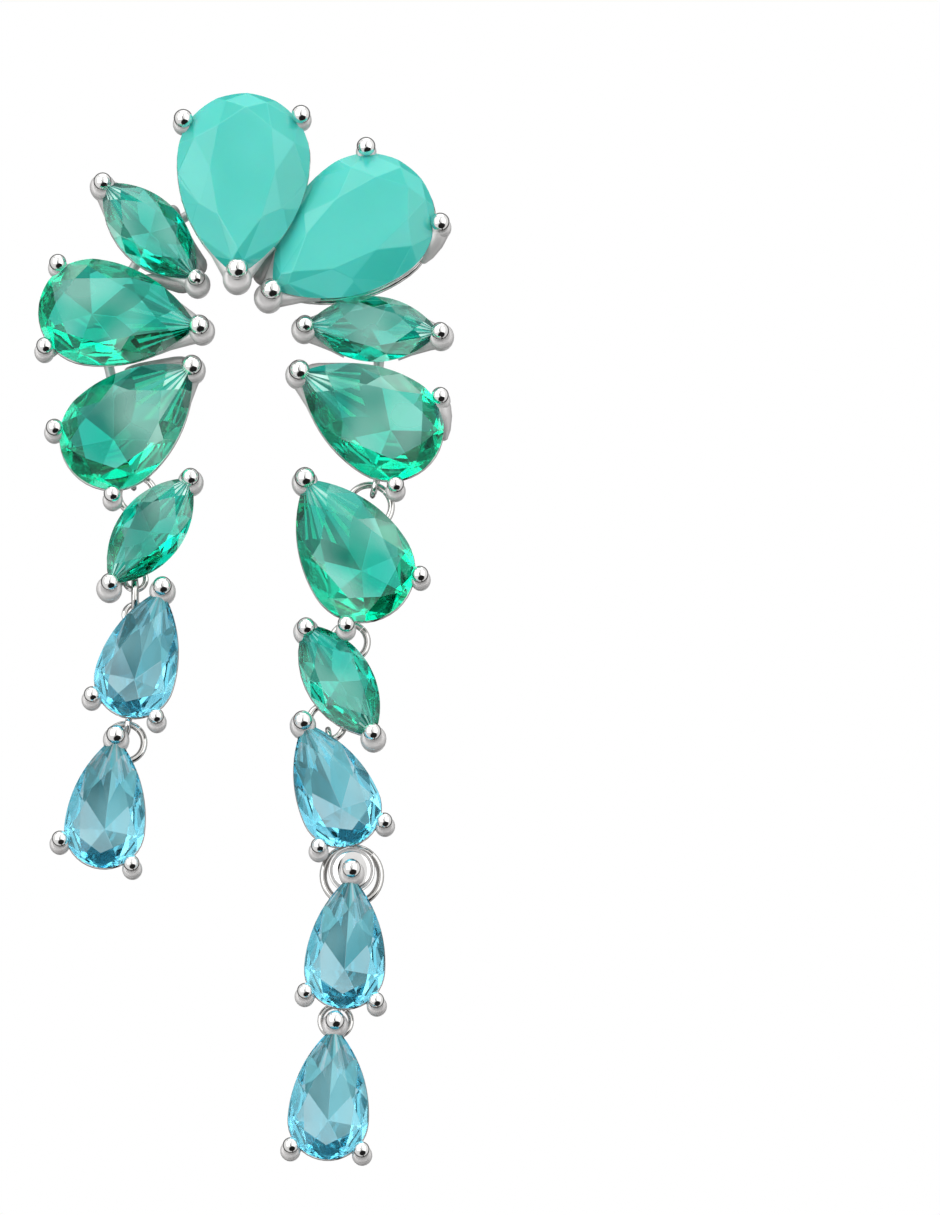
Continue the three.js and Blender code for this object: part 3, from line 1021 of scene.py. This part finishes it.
MINT_STONE = StoneKind(
    Glass.MINT,
    MilkyGlass("milky_mint_glass", (0.039, 0.49, 0.42), (0.061, 0.56, 0.485), (0.13, 0.7, 0.63)),
    rim_painted_light=0.22,
    wearing=SOFT_WEAR,
)
GREEN_STONE = StoneKind(
    Glass.GREEN,
    ClearGlass(
        "sea_green_glass",
        deep=(0.01, 0.25, 0.19),
        rich=(0.05, 0.85, 0.7),
        middle=(0.42, 0.98, 0.88),
        pale=(0.9, 1, 0.97),
        veil=(0.62, 0.97, 0.86),
        glance=(0.25, 0.95, 0.8),
        takes=(860.0, 45.0, 95.0),
    ),
)
DEEP_GREEN_STONE = StoneKind(
    Glass.GREEN,
    ClearGlass(
        "deep_green_glass",
        deep=(0.0, 0.14, 0.1),
        rich=(0.04, 0.72, 0.6),
        middle=(0.25, 0.92, 0.82),
        pale=(0.9, 1, 0.97),
        veil=(0.6, 0.95, 0.85),
        glance=(0.25, 0.95, 0.8),
        takes=(820.0, 45.0, 90.0),
    ),
)
BLUE_STONE = StoneKind(
    Glass.BLUE,
    ClearGlass(
        "sky_blue_glass",
        deep=(0.04, 0.46, 0.54),
        rich=(0.35, 0.86, 0.9),
        middle=(0.78, 0.93, 1.0),
        pale=(1, 1, 1),
        veil=(0.4, 0.84, 0.92),
        glance=(0.3, 0.85, 0.95),
        takes=(200.0, 42.0, 12.0),
    ),
    rim_painted_light=0.4,
    fan_length=0.34,
)


@dataclass
class Stones:
    """All the stones: one cut of each kind, copied to its settings."""

    kinds: dict[str, StoneKind] = field(
        default_factory=lambda: {
            "large_pear": MINT_STONE,
            "green_pear": GREEN_STONE,
            "blue_pear": BLUE_STONE,
            "marquise": DEEP_GREEN_STONE,
        }
    )

    def build(self) -> list[bpy.types.Object]:
        """Cut one stone of each kind, and set a copy of it in every setting.

        Returns:
            The set stones.
        """
        stones = []
        for name, cut in CUTS.items():
            kind = self.kinds[name]
            clear = kind.glass is not Glass.MINT
            model = StoneCutter(cut, clear, kind.rim_painted_light, kind.fan_length, kind.wearing).build()
            model.data.materials.append(kind.finish.material())
            settings = [setting for setting, place in PLACES.items() if place.cut == name]
            stones += [self.set_one(model, setting) for setting in settings]
            bpy.data.objects.remove(model)
        return stones

    def set_one(self, model: bpy.types.Object, setting: str) -> bpy.types.Object:
        """Set a copy of a cut stone in a setting.

        Args:
            model: the cut stone.
            setting: the setting's name.

        Returns:
            The copy.
        """
        stone, place = copy_of(model), PLACES[setting]
        stone.matrix_world = Matrix.Translation(UP * place.level) @ place.matrix
        stand_up(stone, f"cut_stone_{setting}")
        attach(stone, BODY)
        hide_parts(f"stone_{setting}")
        return stone


# ------------------------------------------------------------------------------------------------------------
# Metal
# ------------------------------------------------------------------------------------------------------------


def drawn(
    rows: Sequence[tuple[Vector, float]], sides: int, turn: Sequence[float] = (0, 0, 0), poled: bool = False
) -> bpy.types.Object:
    """Draw a round form out of a disc, row by row.

    Args:
        rows: each row's centre and radius, from the disc on.
        sides: number of corners of a row.
        turn: the way that the rows are turned, from lying flat.
        poled: whether the last row is drawn to a single point.

    Returns:
        The new piece.
    """
    centre, radius = rows[0]
    piece = disc(sides, radius, centre, turn)
    with shaping(piece):
        for following, wide in rows[1:]:
            extrude(following - centre)
            size = wide / radius
            bpy.ops.transform.resize(value=(size, size, size), center_override=following)
            centre, radius = following, wide
        if poled:
            bpy.ops.mesh.merge(type="CENTER")
        face_out()
    return piece


def bar(
    start: Vector, end: Vector, form: Sequence[tuple[float, float]], sides: int = WIRE_SIDES
) -> bpy.types.Object:
    """A round bar between two points, drawn out section by section.

    Args:
        start: the middle of one end.
        end: the middle of the other.
        form: its sections: the share of the way, and the radius there; the first lies at the start.
        sides: number of its sides.

    Returns:
        The new piece.
    """
    way = end - start
    rows = [(start + way * share, wide) for share, wide in form]
    return drawn(rows, sides, way.to_track_quat("Z", "Y").to_euler())


# The sections of a soldered bar, as shares of the way and of its radius: its ends flow into what they join.
FLARE = (
    (0.0, 1.55), (0.08, 1.3), (0.2, 1.06), (0.35, 1.0),
    (0.65, 1.0), (0.8, 1.06), (0.92, 1.3), (1.0, 1.55),
)
# The sections of a rounded end, as shares of the way to the first middle section and of its radius.
ROUNDED_END = ((0, 0.05), (0.1, 0.4), (0.3, 0.68), (0.6, 0.9))


def soldered(radius: float) -> list:
    """The sections of a bar whose ends flow into what they are soldered to."""
    return [(share, radius * wide) for share, wide in FLARE]


def rounded(form: Sequence[tuple[float, float]]) -> list:
    """The sections of a bar whose ends are rounded off.

    Args:
        form: its middle sections.

    Returns:
        All its sections.
    """
    (first, wide), (last, narrow) = form[0], form[-1]
    head = [(first * share, wide * size) for share, size in ROUNDED_END]
    foot = [(1 - (1 - last) * share, narrow * size) for share, size in reversed(ROUNDED_END)]
    return [*head, *form, *foot]


def wire_end(at: Vector, out: Vector, axis: Vector, thick: float, sides: int) -> bpy.types.Object:
    """A disc from which a wire is spun round an axis: its middle, and the way out from the axis there."""
    turn = Matrix((out, axis, out.cross(axis))).transposed().to_euler()
    return disc(sides, thick, at, turn)


def hoop(centre: Vector, axis: Vector, radius: float, thick: float, slit: float = 0) -> bpy.types.Object:
    """A ring of round wire, spun round its axis, with a fine slit where its ends meet.

    Args:
        centre: the middle of the ring.
        axis: the direction through its hole.
        radius: from its middle to the middle of its wire.
        thick: the wire's radius.
        slit: the width of the slit, or 0 for a closed ring.

    Returns:
        The new piece.
    """
    axis = axis.normalized()
    side = axis.orthogonal().normalized()
    piece = wire_end(centre + side * radius, side, axis, thick, WIRE_SIDES)
    with shaping(piece):
        if not slit:
            bpy.ops.mesh.delete(type="ONLY_FACE")
            take_all()
        sweep = 2 * math.pi - slit / radius
        bpy.ops.mesh.spin(steps=RING_STEPS, angle=sweep, center=centre, axis=axis)
        take_all()
        bpy.ops.mesh.remove_doubles(threshold=TOLERANCE)
        face_out()
    return piece


# Rows of a shoulder, from its neck to its rounded top: height over the girdle and radius, in shoulder radii.
SHOULDER_FORM = (
    (-2.1, 0.7), (-1.95, 0.8), (-1.75, 0.88), (-1.5, 0.93), (-1.1, 0.97), (-0.6, 1.0), (-0.05, 1.0),
    (0.1, 0.97), (0.21, 0.91), (0.29, 0.83), (0.34, 0.73), (0.36, 0.62),
)
# The angles over its middle at which rows of a ball lie.
BALL_ROWS = range(-30, 80, 12)
# Where the rails of a large setting are propped, as shares of the outline.
PROPS = {"large_pear": (0.2, 0.8)}
# The settings one of whose head claws trails along the stone: 1 for the left-hand claw, -1 for the right-hand
# one; and the middle sections of the trail, as shares of the way and of the shoulder's radius.
TRAILS = {"upper_right_pear": 1, "right_pear": -1}
TRAIL_FORM = ((0.12, 1), (0.4, 1.02), (0.75, 0.75), (0.93, 0.42))
# Sections of a cheek by the shoulder, as shares of the way and of the shoulder's radius.
CHEEK_FORM = ((0, 0.85), (0.3, 0.6))
# The setting with a third rail.
GALLERIES = ("upper_right_pear",)
# The setting whose point stands on a collar, and the collar's rows: height over the girdle and radius.
COLLARED = ("long_blue_middle",)
COLLAR_FORM = (
    (-0.59, 1.2), (-0.59, 1.72), (-0.56, 1.76), (-0.49, 1.76), (-0.46, 1.73), (-0.46, 1.64), (-0.49, 1.6),
    (-0.54, 1.58), (-0.54, 1.46), (-0.46, 1.43), (-0.43, 1.38), (-0.43, 0.8),
)


@dataclass
class Basket:
    """The metal that holds one stone: two rails that follow its outline, and the prongs on them."""

    name: str
    satin: bpy.types.Material
    polish: bpy.types.Material
    rail_out: float = -0.24
    rail_thick: float = 0.3
    rail_drop: float = 0.82
    rail_sides: int = 10
    rail_head_steps: int = 20
    rail_flank_steps: int = 12
    lower_inset: float = 0.27
    lower_thick: float = 0.3
    lower_level: float = 0.32
    foot: float = 0.42
    calf: float = 0.441
    calf_at: float = 0.3
    neck: float = 0.8
    neck_in: float = 0.25
    prong_sides: int = 24
    ball_rise: float = 0.62
    ball_out: float = 0.42
    ball_pole: float = 0.02
    ball_polish: float = 0.37
    prop_thick: float = 0.26
    slump: float = 0.3
    cheek_length: float = 3.4
    cheek_drop: float = 0.55
    cheek_end: tuple = ((0.7, 1.2), (1, 1))
    cheek_sides: int = 16
    trail_length: float = 3.1
    trail_out: float = 0.12
    trail_drop: float = 1.3
    trail_sink: float = 0.35
    gallery_out: float = -0.12
    gallery_drop: float = 2.1
    gallery_thick: float = 0.26
    collar_polish: float = -0.47
    collar_sides: int = 48
    eye_room: float = 0.32
    eye_thick: float = 0.22

    @property
    def place(self) -> Place:
        """Where the setting lies."""
        return PLACES[self.name]

    @property
    def cut(self) -> Cut:
        """The cut of the stone it holds."""
        return CUTS[self.place.cut]

    @property
    def stone(self) -> Outline:
        """The outline of the stone."""
        return Outline(self.cut)

    @property
    def upper(self) -> Outline:
        """The line of the upper rail."""
        return Outline(self.cut, self.rail_out)

    @property
    def lower(self) -> Outline:
        """The line of the lower rail."""
        return Outline(self.cut, -self.lower_inset * self.cut.width)

    def rail(self, outline: Outline, level: float, thick: float) -> bpy.types.Object:
        """A round rail.

        Args:
            outline: the line that it follows.
            level: its height over the back plane.
            thick: its radius.

        Returns:
            The new piece.
        """
        start, out = outline.at(0)
        piece = wire_end(start + UP * level, out, UP, thick, self.rail_sides)
        with shaping(piece):
            outline.follow(self.rail_head_steps, self.rail_flank_steps)
            face_out()
        self.finish(piece)
        return piece

    def shoulder(self, share: float, claw: Claw, out: float) -> Vector:
        """The middle of a shoulder, which hangs lower than its ball, and leans out most under a stone.

        Args:
            share: the prong's place round the outline.
            claw: its sizes.
            out: how far the ball's middle lies outside the stone.

        Returns:
            The point.
        """
        edge, way = self.stone.facing(share)
        turned = self.place.matrix.to_3x3()
        lean = claw.lean * (1 - (turned @ way).y) / 2
        slump = turned.inverted() @ Vector((0, -self.slump, 0))
        return edge + way * (out + lean) + slump + UP * self.place.level

    def prong(self, share: float, claw: Claw, out: float) -> bpy.types.Object:
        """A prong: it rises from the lower rail to a flat shoulder outside the stone, and ends in a ball.

        Args:
            share: its place round the outline.
            claw: its sizes.
            out: how far the ball's middle lies outside the stone.

        Returns:
            The new piece.
        """
        level = self.place.level
        edge, way = self.stone.facing(share)
        foot = self.lower.facing(share)[0] + UP * self.lower_level
        ball = edge + way * out + UP * (level + self.ball_rise)
        shoulder = self.shoulder(share, claw, out)
        rows = [(foot, self.foot), (foot.lerp(shoulder, self.calf_at), self.calf)]
        for height, wide in SHOULDER_FORM:
            rows.append((shoulder + UP * height * claw.shoulder, wide * claw.shoulder))
        neck = ball.lerp(shoulder, self.neck_in)
        neck.z = level + SHOULDER_FORM[-1][0] * claw.shoulder
        rows.append((neck, claw.ball * self.neck))
        for lean in map(math.radians, BALL_ROWS):
            rows.append((ball + UP * claw.ball * math.sin(lean), claw.ball * math.cos(lean)))
        rows.append((ball + UP * claw.ball, self.ball_pole))
        piece = drawn(rows, self.prong_sides, poled=True)
        self.finish(piece, level + self.ball_polish * claw.shoulder)
        return piece

    def trail(self) -> bpy.types.Object:
        """A lobe that trails from a head claw along the outside of the stone.

        Returns:
            The new piece.
        """
        claw, outline = HEAD_CLAWS[self.place.cut], Outline(self.cut, self.trail_out)
        share = self.stone.share_at(self.place.left if TRAILS[self.name] > 0 else -self.place.right)
        start = self.shoulder(share, claw, self.ball_out) - UP * self.trail_sink
        end = outline.at(share - self.trail_length / outline.length)[0]
        end += UP * (self.place.level - self.trail_drop)
        form = [(along, claw.shoulder * wide) for along, wide in TRAIL_FORM]
        piece = bar(start, end, rounded(form), LOBE_SIDES)
        self.finish(piece, math.inf)
        return piece

    def collar(self) -> bpy.types.Object:
        """A thin round collar with a raised rim, on which the point's claw stands.

        Returns:
            The new piece.
        """
        edge, way = self.stone.facing(0)
        level = self.place.level
        centre = edge + way * self.place.beyond
        rows = [(centre + UP * (level + height), wide) for height, wide in COLLAR_FORM]
        piece = drawn(rows, self.collar_sides)
        self.finish(piece, level + self.collar_polish)
        return piece

    def cheek(self, share: float, side: int) -> bpy.types.Object:
        """A cheek: it runs from a point's shoulder back along the stone's flank, and ends in the upper rail.

        Args:
            share: the point's place round the outline.
            side: 1 or -1, for the flank after that place or before it.

        Returns:
            The new piece.
        """
        claw, outline = TIP_CLAWS[self.place.cut], self.upper
        start = self.shoulder(share, claw, self.place.beyond) - UP * self.cheek_drop
        end = outline.at(share + side * self.cheek_length / outline.length)[0]
        end += UP * (self.place.level - self.rail_drop)
        form = [(along, claw.shoulder * wide) for along, wide in CHEEK_FORM]
        form += [(along, self.rail_thick * wide) for along, wide in self.cheek_end]
        piece = bar(start, end, form, self.cheek_sides)
        self.finish(piece, math.inf)
        return piece

    def prop(self, share: float) -> bpy.types.Object:
        """A thin post between the two rails.

        Args:
            share: its place round the outline.

        Returns:
            The new piece.
        """
        start = self.lower.at(share)[0] + UP * self.lower_level
        end = self.upper.at(share)[0] + UP * (self.place.level - self.rail_drop)
        piece = bar(start, end, soldered(self.prop_thick))
        self.finish(piece, math.inf)
        return piece

    def rail_point(self, target: Vector, steps: int = 72) -> Vector:
        """The point of the lower rail that lies nearest to a point of the bench.

        Args:
            target: the point of the bench.
            steps: how many points of the rail are tried.

        Returns:
            The rail's point, on the bench.
        """
        lower, up = self.lower, UP * self.lower_level
        points = [self.place.matrix @ (lower.at(step / steps)[0] + up) for step in range(steps)]
        return min(points, key=lambda point: (point.xy - target.xy).length)

    def eye(self, link: Link) -> bpy.types.Object:
        """The eye by which the setting hangs on a jump ring: a loop round the ring's wire, and its stem.

        Args:
            link: the jump ring.

        Returns:
            The new piece, on the bench.
        """
        way = (self.place.middle - link.centre).xy.to_3d().normalized()
        if link.edge_on:
            way = Vector((0, math.copysign(1, way.y), 0))
        hold = link.centre + way * link.radius
        radius = link.wire + self.eye_room + self.eye_thick
        outer = hold + way * radius
        loop = hoop(hold, UP if link.edge_on else way.cross(UP), radius, self.eye_thick)
        stem = bar(outer, self.rail_point(outer), soldered(self.eye_thick))
        piece = join([loop, stem])
        self.finish(piece)
        return piece

    def finish(self, piece: bpy.types.Object, bright_over: float = -math.inf) -> None:
        """Give a piece its satin finish, and its polish over a height.

        Args:
            piece: the piece to be dressed.
            bright_over: the height over the back plane from which it is polished.
        """
        piece.data.materials.append(self.satin)
        piece.data.materials.append(self.polish)
        for face in piece.data.polygons:
            face.material_index = int(face.center.z > bright_over)

    def build(self) -> bpy.types.Object:
        """Make the rails and the prongs, and set them on the bench.

        Returns:
            The setting.
        """
        place, cut = self.place, self.cut
        pieces = [
            self.rail(self.upper, place.level - self.rail_drop, self.rail_thick),
            self.rail(self.lower, self.lower_level, self.lower_thick),
        ]
        pieces += [self.prong(point, TIP_CLAWS[place.cut], place.beyond) for point in cut.points]
        if cut.round_head:
            for share in map(self.stone.share_at, (place.left, -place.right)):
                pieces.append(self.prong(share, HEAD_CLAWS[place.cut], self.ball_out))
        if self.name in TRAILS:
            pieces.append(self.trail())
        if self.name in COLLARED:
            pieces.append(self.collar())
        if self.name in ARCH:
            pieces += [self.cheek(point, side) for point in cut.points for side in (1, -1)]
        pieces += [self.prop(share) for share in PROPS.get(place.cut, ())]
        if self.name in GALLERIES:
            run = Outline(cut, self.gallery_out)
            pieces.append(self.rail(run, place.level - self.gallery_drop, self.gallery_thick))
        basket = join(pieces)
        basket.matrix_world = place.matrix @ basket.matrix_world
        pick(basket)
        settle()
        held = [link for link in LINKS.values() if self.name in (link.upper, link.lower)]
        return join([basket, *map(self.eye, held)])


@dataclass
class EarPost:
    """The ear post, which stands back from its plate behind the top setting, grooved for the ear nut."""

    radius: float = 0.4
    length: float = 11.0
    taper: float = 0.6
    tip: float = 0.2
    tip_flat: float = 0.12
    tip_round: float = 0.06
    plate: float = 1.3
    plate_thick: float = 0.5
    rounding: float = 0.1
    edge: tuple = ((0, 1), (0.3, 0.3), (1, 0))
    groove_at: float = 8.6
    groove_half: float = 0.35
    groove_depth: float = 0.1
    groove_steps: int = 6
    fillet: tuple = ((0.35, 1.0), (0.12, 1.15), (0.02, 1.5))
    sides: int = 32

    def build(self) -> bpy.types.Object:
        """Draw the post forward from its end, and its plate out of its foot.

        Returns:
            The new piece.
        """
        radius, soft, thick = self.radius, self.rounding, self.plate_thick
        form = [(self.length, self.tip_flat), (self.length - self.tip_round, self.tip)]
        form.append((self.length - self.taper, radius))
        for turn in (math.pi * step / self.groove_steps for step in range(self.groove_steps + 1)):
            back = self.groove_at + self.groove_half * math.cos(turn)
            form.append((back, radius - self.groove_depth * math.sin(turn)))
        form += [(back, radius * wide) for back, wide in self.fillet]
        form += [(-soft * down, self.plate - soft * short) for down, short in self.edge]
        form += [(soft * up - thick, self.plate - soft * short) for up, short in reversed(self.edge)]
        return drawn([(UP * -back, wide) for back, wide in form], self.sides)


@dataclass
class Metalwork:
    """All the metal: the soldered arch with its post, the settings of the drops, and the jump rings."""

    bar_thick: float = 0.38
    satin: bpy.types.Material = field(default_factory=SATIN.material)
    polish: bpy.types.Material = field(default_factory=POLISHED.material)
    wire: bpy.types.Material = field(default_factory=RING.material)

    def basket(self, name: str) -> Basket:
        """The setting of a name."""
        return Basket(name, self.satin, self.polish)

    def solder(self) -> list[bpy.types.Object]:
        """The bars that join the settings of the arch, the bar that crosses the top setting, and the gussets.

        Returns:
            The new pieces.
        """
        ends = []
        for pair in NEIGHBOURS:
            middle = (ARCH[pair[0]].middle + ARCH[pair[1]].middle) / 2
            ends.append([self.basket(name).rail_point(middle) for name in pair])
        top = self.basket("top_pear")
        reach = top.cut.width * (0.5 - top.lower_inset)
        ends.append([Vector((side * reach, 0, top.lower_level)) for side in (-1, 1)])
        bars = [bar(start, end, soldered(self.bar_thick)) for start, end in ends]
        fills = []
        for fill in GUSSETS:
            fills.append(bar(Vector(fill.start), Vector(fill.end), rounded(fill.form), LOBE_SIDES))
        # The gussets take the solder with painted shade; the bars keep the satin plate.
        painted_dark = SHADED_SOLDER.material()
        for piece in (*bars, *fills):
            piece.data.materials.append(painted_dark if piece in fills else self.satin)
        return bars + fills

    def dress(self, piece: bpy.types.Object, name: str, node: str) -> bpy.types.Object:
        """Smooth a piece, stand it up and let it stand for its solid.

        Args:
            piece: the piece, on the bench.
            name: the name that it keeps.
            node: the solid's name.

        Returns:
            The piece.
        """
        smooth(piece)
        stand_up(piece, name)
        piece.visible_transmission = False
        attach(piece, BODY)
        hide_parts(node)
        return piece

    def build(self) -> list[bpy.types.Object]:
        """Make every piece of metal.

        Returns:
            The pieces.
        """
        post = EarPost().build()
        post.data.materials.append(self.polish)
        settings = [self.basket(name).build() for name in ARCH]
        pieces = [self.dress(join([*settings, *self.solder(), post]), "arch_of_settings", "arch_frame")]
        for name in DROPS:
            pieces.append(self.dress(self.basket(name).build(), f"basket_{name}", f"setting_{name}"))
        for name, link in LINKS.items():
            axis = Vector((1, 0, 0)) if link.edge_on else UP
            ring = hoop(link.centre, axis, link.radius, link.wire, LINK_SLIT)
            ring.data.materials.append(self.wire)
            pieces.append(self.dress(ring, f"ring_{name}", f"jump_ring_{name}"))
        return pieces


# ------------------------------------------------------------------------------------------------------------
# Studio
# ------------------------------------------------------------------------------------------------------------


@dataclass(frozen=True)
class SoftBox:
    """A soft box that faces the earring: its direction, its size, how bright it is, and its distance."""

    name: str
    azimuth: float
    elevation: float
    width: float
    height: float
    glow: float
    distance: float = 0.7

    def build(self, target: Vector) -> None:
        """Hang the soft box.

        Args:
            target: the point that it faces.
        """
        data = bpy.data.lights.new(self.name, "AREA")
        data.shape = "RECTANGLE"
        data.size, data.size_y = self.width, self.height
        data.energy = self.glow * math.pi * self.width * self.height
        lamp = bpy.data.objects.new(self.name, data)
        bpy.context.scene.collection.objects.link(lamp)
        turn, lift = math.radians(self.azimuth), math.radians(self.elevation)
        way = Vector((math.sin(turn) * math.cos(lift), -math.cos(turn) * math.cos(lift), math.sin(lift)))
        lamp.location = target + way * self.distance
        lamp.rotation_euler = way.to_track_quat("Z", "Y").to_euler()
        lamp.visible_camera = False


@dataclass
class Studio:
    """A pale floor, soft boxes, a room that is white to the eye, and the camera."""

    floor_level: float = -0.24
    floor_radius: float = 0.6
    floor_sides: int = 96
    floor_fade: tuple = (0.05, 0.3)
    paper: tuple = (0.9, 0.9, 0.89, 1)
    paper_haze: float = 0.7
    middle: tuple = (0.0, 0.0, -0.034)
    aim: tuple = (0.01707, -0.0035, -0.03398)
    pitch: float = 8.0
    camera_distance: float = 1.0
    nearest: float = 0.01
    view_height: float = 0.0913
    sensor: float = 24.0
    longest_path: int = 32
    front_to_back: tuple = (-0.25, 0.45)
    low_to_high: tuple = (-0.8, 0.8)
    wall_front: tuple = (0.5, 0.75)
    wall_back: tuple = (0.75, 0.9)
    metal_front: tuple = (0.8, 1.0)
    metal_back: tuple = (0.03, 0.08)
    hidden_edge: tuple = (0.3, 0.62)
    behind_edge: tuple = (0.93, 0.86)
    seam_at: float = -0.13
    seam_lean: float = 0.45
    seam_edge: tuple = (0.12, 0.06)
    seam_top: tuple = (0.9, 0.5)
    stone_front: tuple = (0.95, 1.15)
    stone_back: tuple = (0.17, 0.66)
    cloud_size: float = 4.0
    cloud_edge: tuple = (0.4, 0.6)
    dark: float = 0.015
    dark_way: tuple = (0.28, -0.48, -0.83)
    dark_edge: tuple = (44.0, 36.0)
    boxes: tuple = (
        SoftBox("left_soft_box", -40, 14, 0.66, 0.9, 1.6),
        SoftBox("right_soft_box", 44, 12, 0.58, 0.85, 1.0),
        SoftBox("top_soft_box", 10, 78, 0.7, 0.5, 1.1),
    )

    def build(self) -> None:
        """Set the studio up."""
        self.floor()
        self.room()
        for box in self.boxes:
            box.build(Vector(self.middle))
        self.camera()

    def floor(self) -> None:
        """A round pale floor under the earring, left out of its reflections."""
        deselect()
        floor = disc(self.floor_sides, self.floor_radius, (0, 0, self.floor_level))
        floor.name = "studio_floor"
        nodes = Nodes(bpy.data.materials.new("pale_floor"))
        paper = nodes.add("BsdfPrincipled", {"Base Color": self.paper, "Roughness": self.paper_haze})
        glow = nodes.add("Emission", {"Color": (1, 1, 1, 1), "Strength": 1.0})
        flat = nodes.add("VectorMath", {0: nodes.place(), 1: (1, 1, 0)}, operation="MULTIPLY").outputs[0]
        reach = nodes.add("VectorMath", {0: flat}, operation="LENGTH").outputs["Value"]
        fade = nodes.between(reach, self.floor_fade, how="SMOOTHSTEP")
        shader = nodes.add("MixShader", {0: fade, 1: paper.outputs["BSDF"], 2: glow.outputs["Emission"]})
        nodes.add("OutputMaterial", {"Surface": shader.outputs["Shader"]})
        floor.data.materials.append(nodes.owner)
        floor.visible_glossy = False
        floor.visible_transmission = False
        floor.visible_diffuse = False

    def room(self) -> None:
        """The room: white to the eye, with one play of greys for light, one for metal and one for stones."""
        world = bpy.data.worlds.new("studio_room")
        bpy.context.scene.world = world
        nodes = Nodes(world)
        way = nodes.add("TexCoord").outputs["Generated"]
        split = nodes.add("SeparateXYZ", {"Vector": way}).outputs
        rays = nodes.add("LightPath").outputs

        def blend(factor: bpy.types.NodeSocket, first: object, second: object) -> bpy.types.NodeSocket:
            """Mix two greys or two sockets."""
            pair = [(one, one, one, 1) if isinstance(one, float) else one for one in (first, second)]
            return nodes.add("MixRGB", {"Fac": factor, "Color1": pair[0], "Color2": pair[1]}).outputs[0]

        behind = nodes.between(split["Y"], self.front_to_back)
        above = nodes.between(split["Z"], self.low_to_high)
        walls = blend(behind, blend(above, *self.wall_front), blend(above, *self.wall_back))

        near = nodes.add("VectorMath", {0: way, 1: self.dark_way}, operation="DOT_PRODUCT").outputs["Value"]
        gap = nodes.between(near, [math.cos(math.radians(angle)) for angle in self.dark_edge])
        aside = nodes.sum("SUBTRACT", split["X"], self.seam_at)
        aside = nodes.sum("ABSOLUTE", nodes.sum("MULTIPLY_ADD", split["Z"], self.seam_lean, aside))
        seam = nodes.between(aside, self.seam_edge)
        seam = nodes.sum("MULTIPLY", seam, nodes.between(split["Z"], self.seam_top))
        front = blend(nodes.sum("MAXIMUM", gap, seam), blend(above, *self.metal_front), self.dark)
        ahead = nodes.between(split["Y"], self.behind_edge)
        hidden = nodes.sum("MULTIPLY", nodes.between(split["Y"], self.hidden_edge), ahead)
        metal = blend(hidden, front, blend(above, *self.metal_back))

        cloud = nodes.between(nodes.noise(way, self.cloud_size, 1.0), self.cloud_edge)
        stone = blend(behind, blend(cloud, *self.stone_front), blend(cloud, *self.stone_back))

        seen = blend(rays["Is Transmission Ray"], blend(rays["Is Glossy Ray"], walls, metal), stone)
        lit = nodes.add("Background", {"Color": seen, "Strength": 1.0})
        white = nodes.add("Background", {"Color": (1, 1, 1, 1), "Strength": 1.0})
        mix = nodes.add("MixShader", {0: rays["Is Camera Ray"], 1: lit.outputs[0], 2: white.outputs[0]})
        nodes.add("OutputWorld", {"Surface": mix.outputs[0]})

    def camera(self) -> None:
        """The camera, in front and a little below, framed on the plane of the stones' girdles."""
        data = bpy.data.cameras.new("studio_camera")
        data.sensor_fit = "VERTICAL"
        data.sensor_height = self.sensor
        data.lens = self.sensor * self.camera_distance / self.view_height
        data.clip_start = self.nearest
        camera = bpy.data.objects.new("studio_camera", data)
        scene = bpy.context.scene
        scene.collection.objects.link(camera)
        pitch = math.radians(self.pitch)
        away = Vector((0, -math.cos(pitch), -math.sin(pitch)))
        camera.location = Vector(self.aim) + away * self.camera_distance
        camera.rotation_euler = (math.pi / 2 + pitch, 0, 0)
        scene.camera = camera
        scene.view_settings.view_transform = "Standard"
        scene.cycles.max_bounces = self.longest_path
        scene.cycles.transmission_bounces = self.longest_path


def main() -> None:
    """Build the earring piece by piece, report each piece, and set up its studio."""
    logging.basicConfig(level=logging.INFO, format="%(message)s")
    deselect()
    for piece in (*Stones().build(), *Metalwork().build()):
        LOG.info("%s: %d faces", piece.name, len(piece.data.polygons))
    Studio().build()
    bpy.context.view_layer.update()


if __name__ == "__main__":
    main()
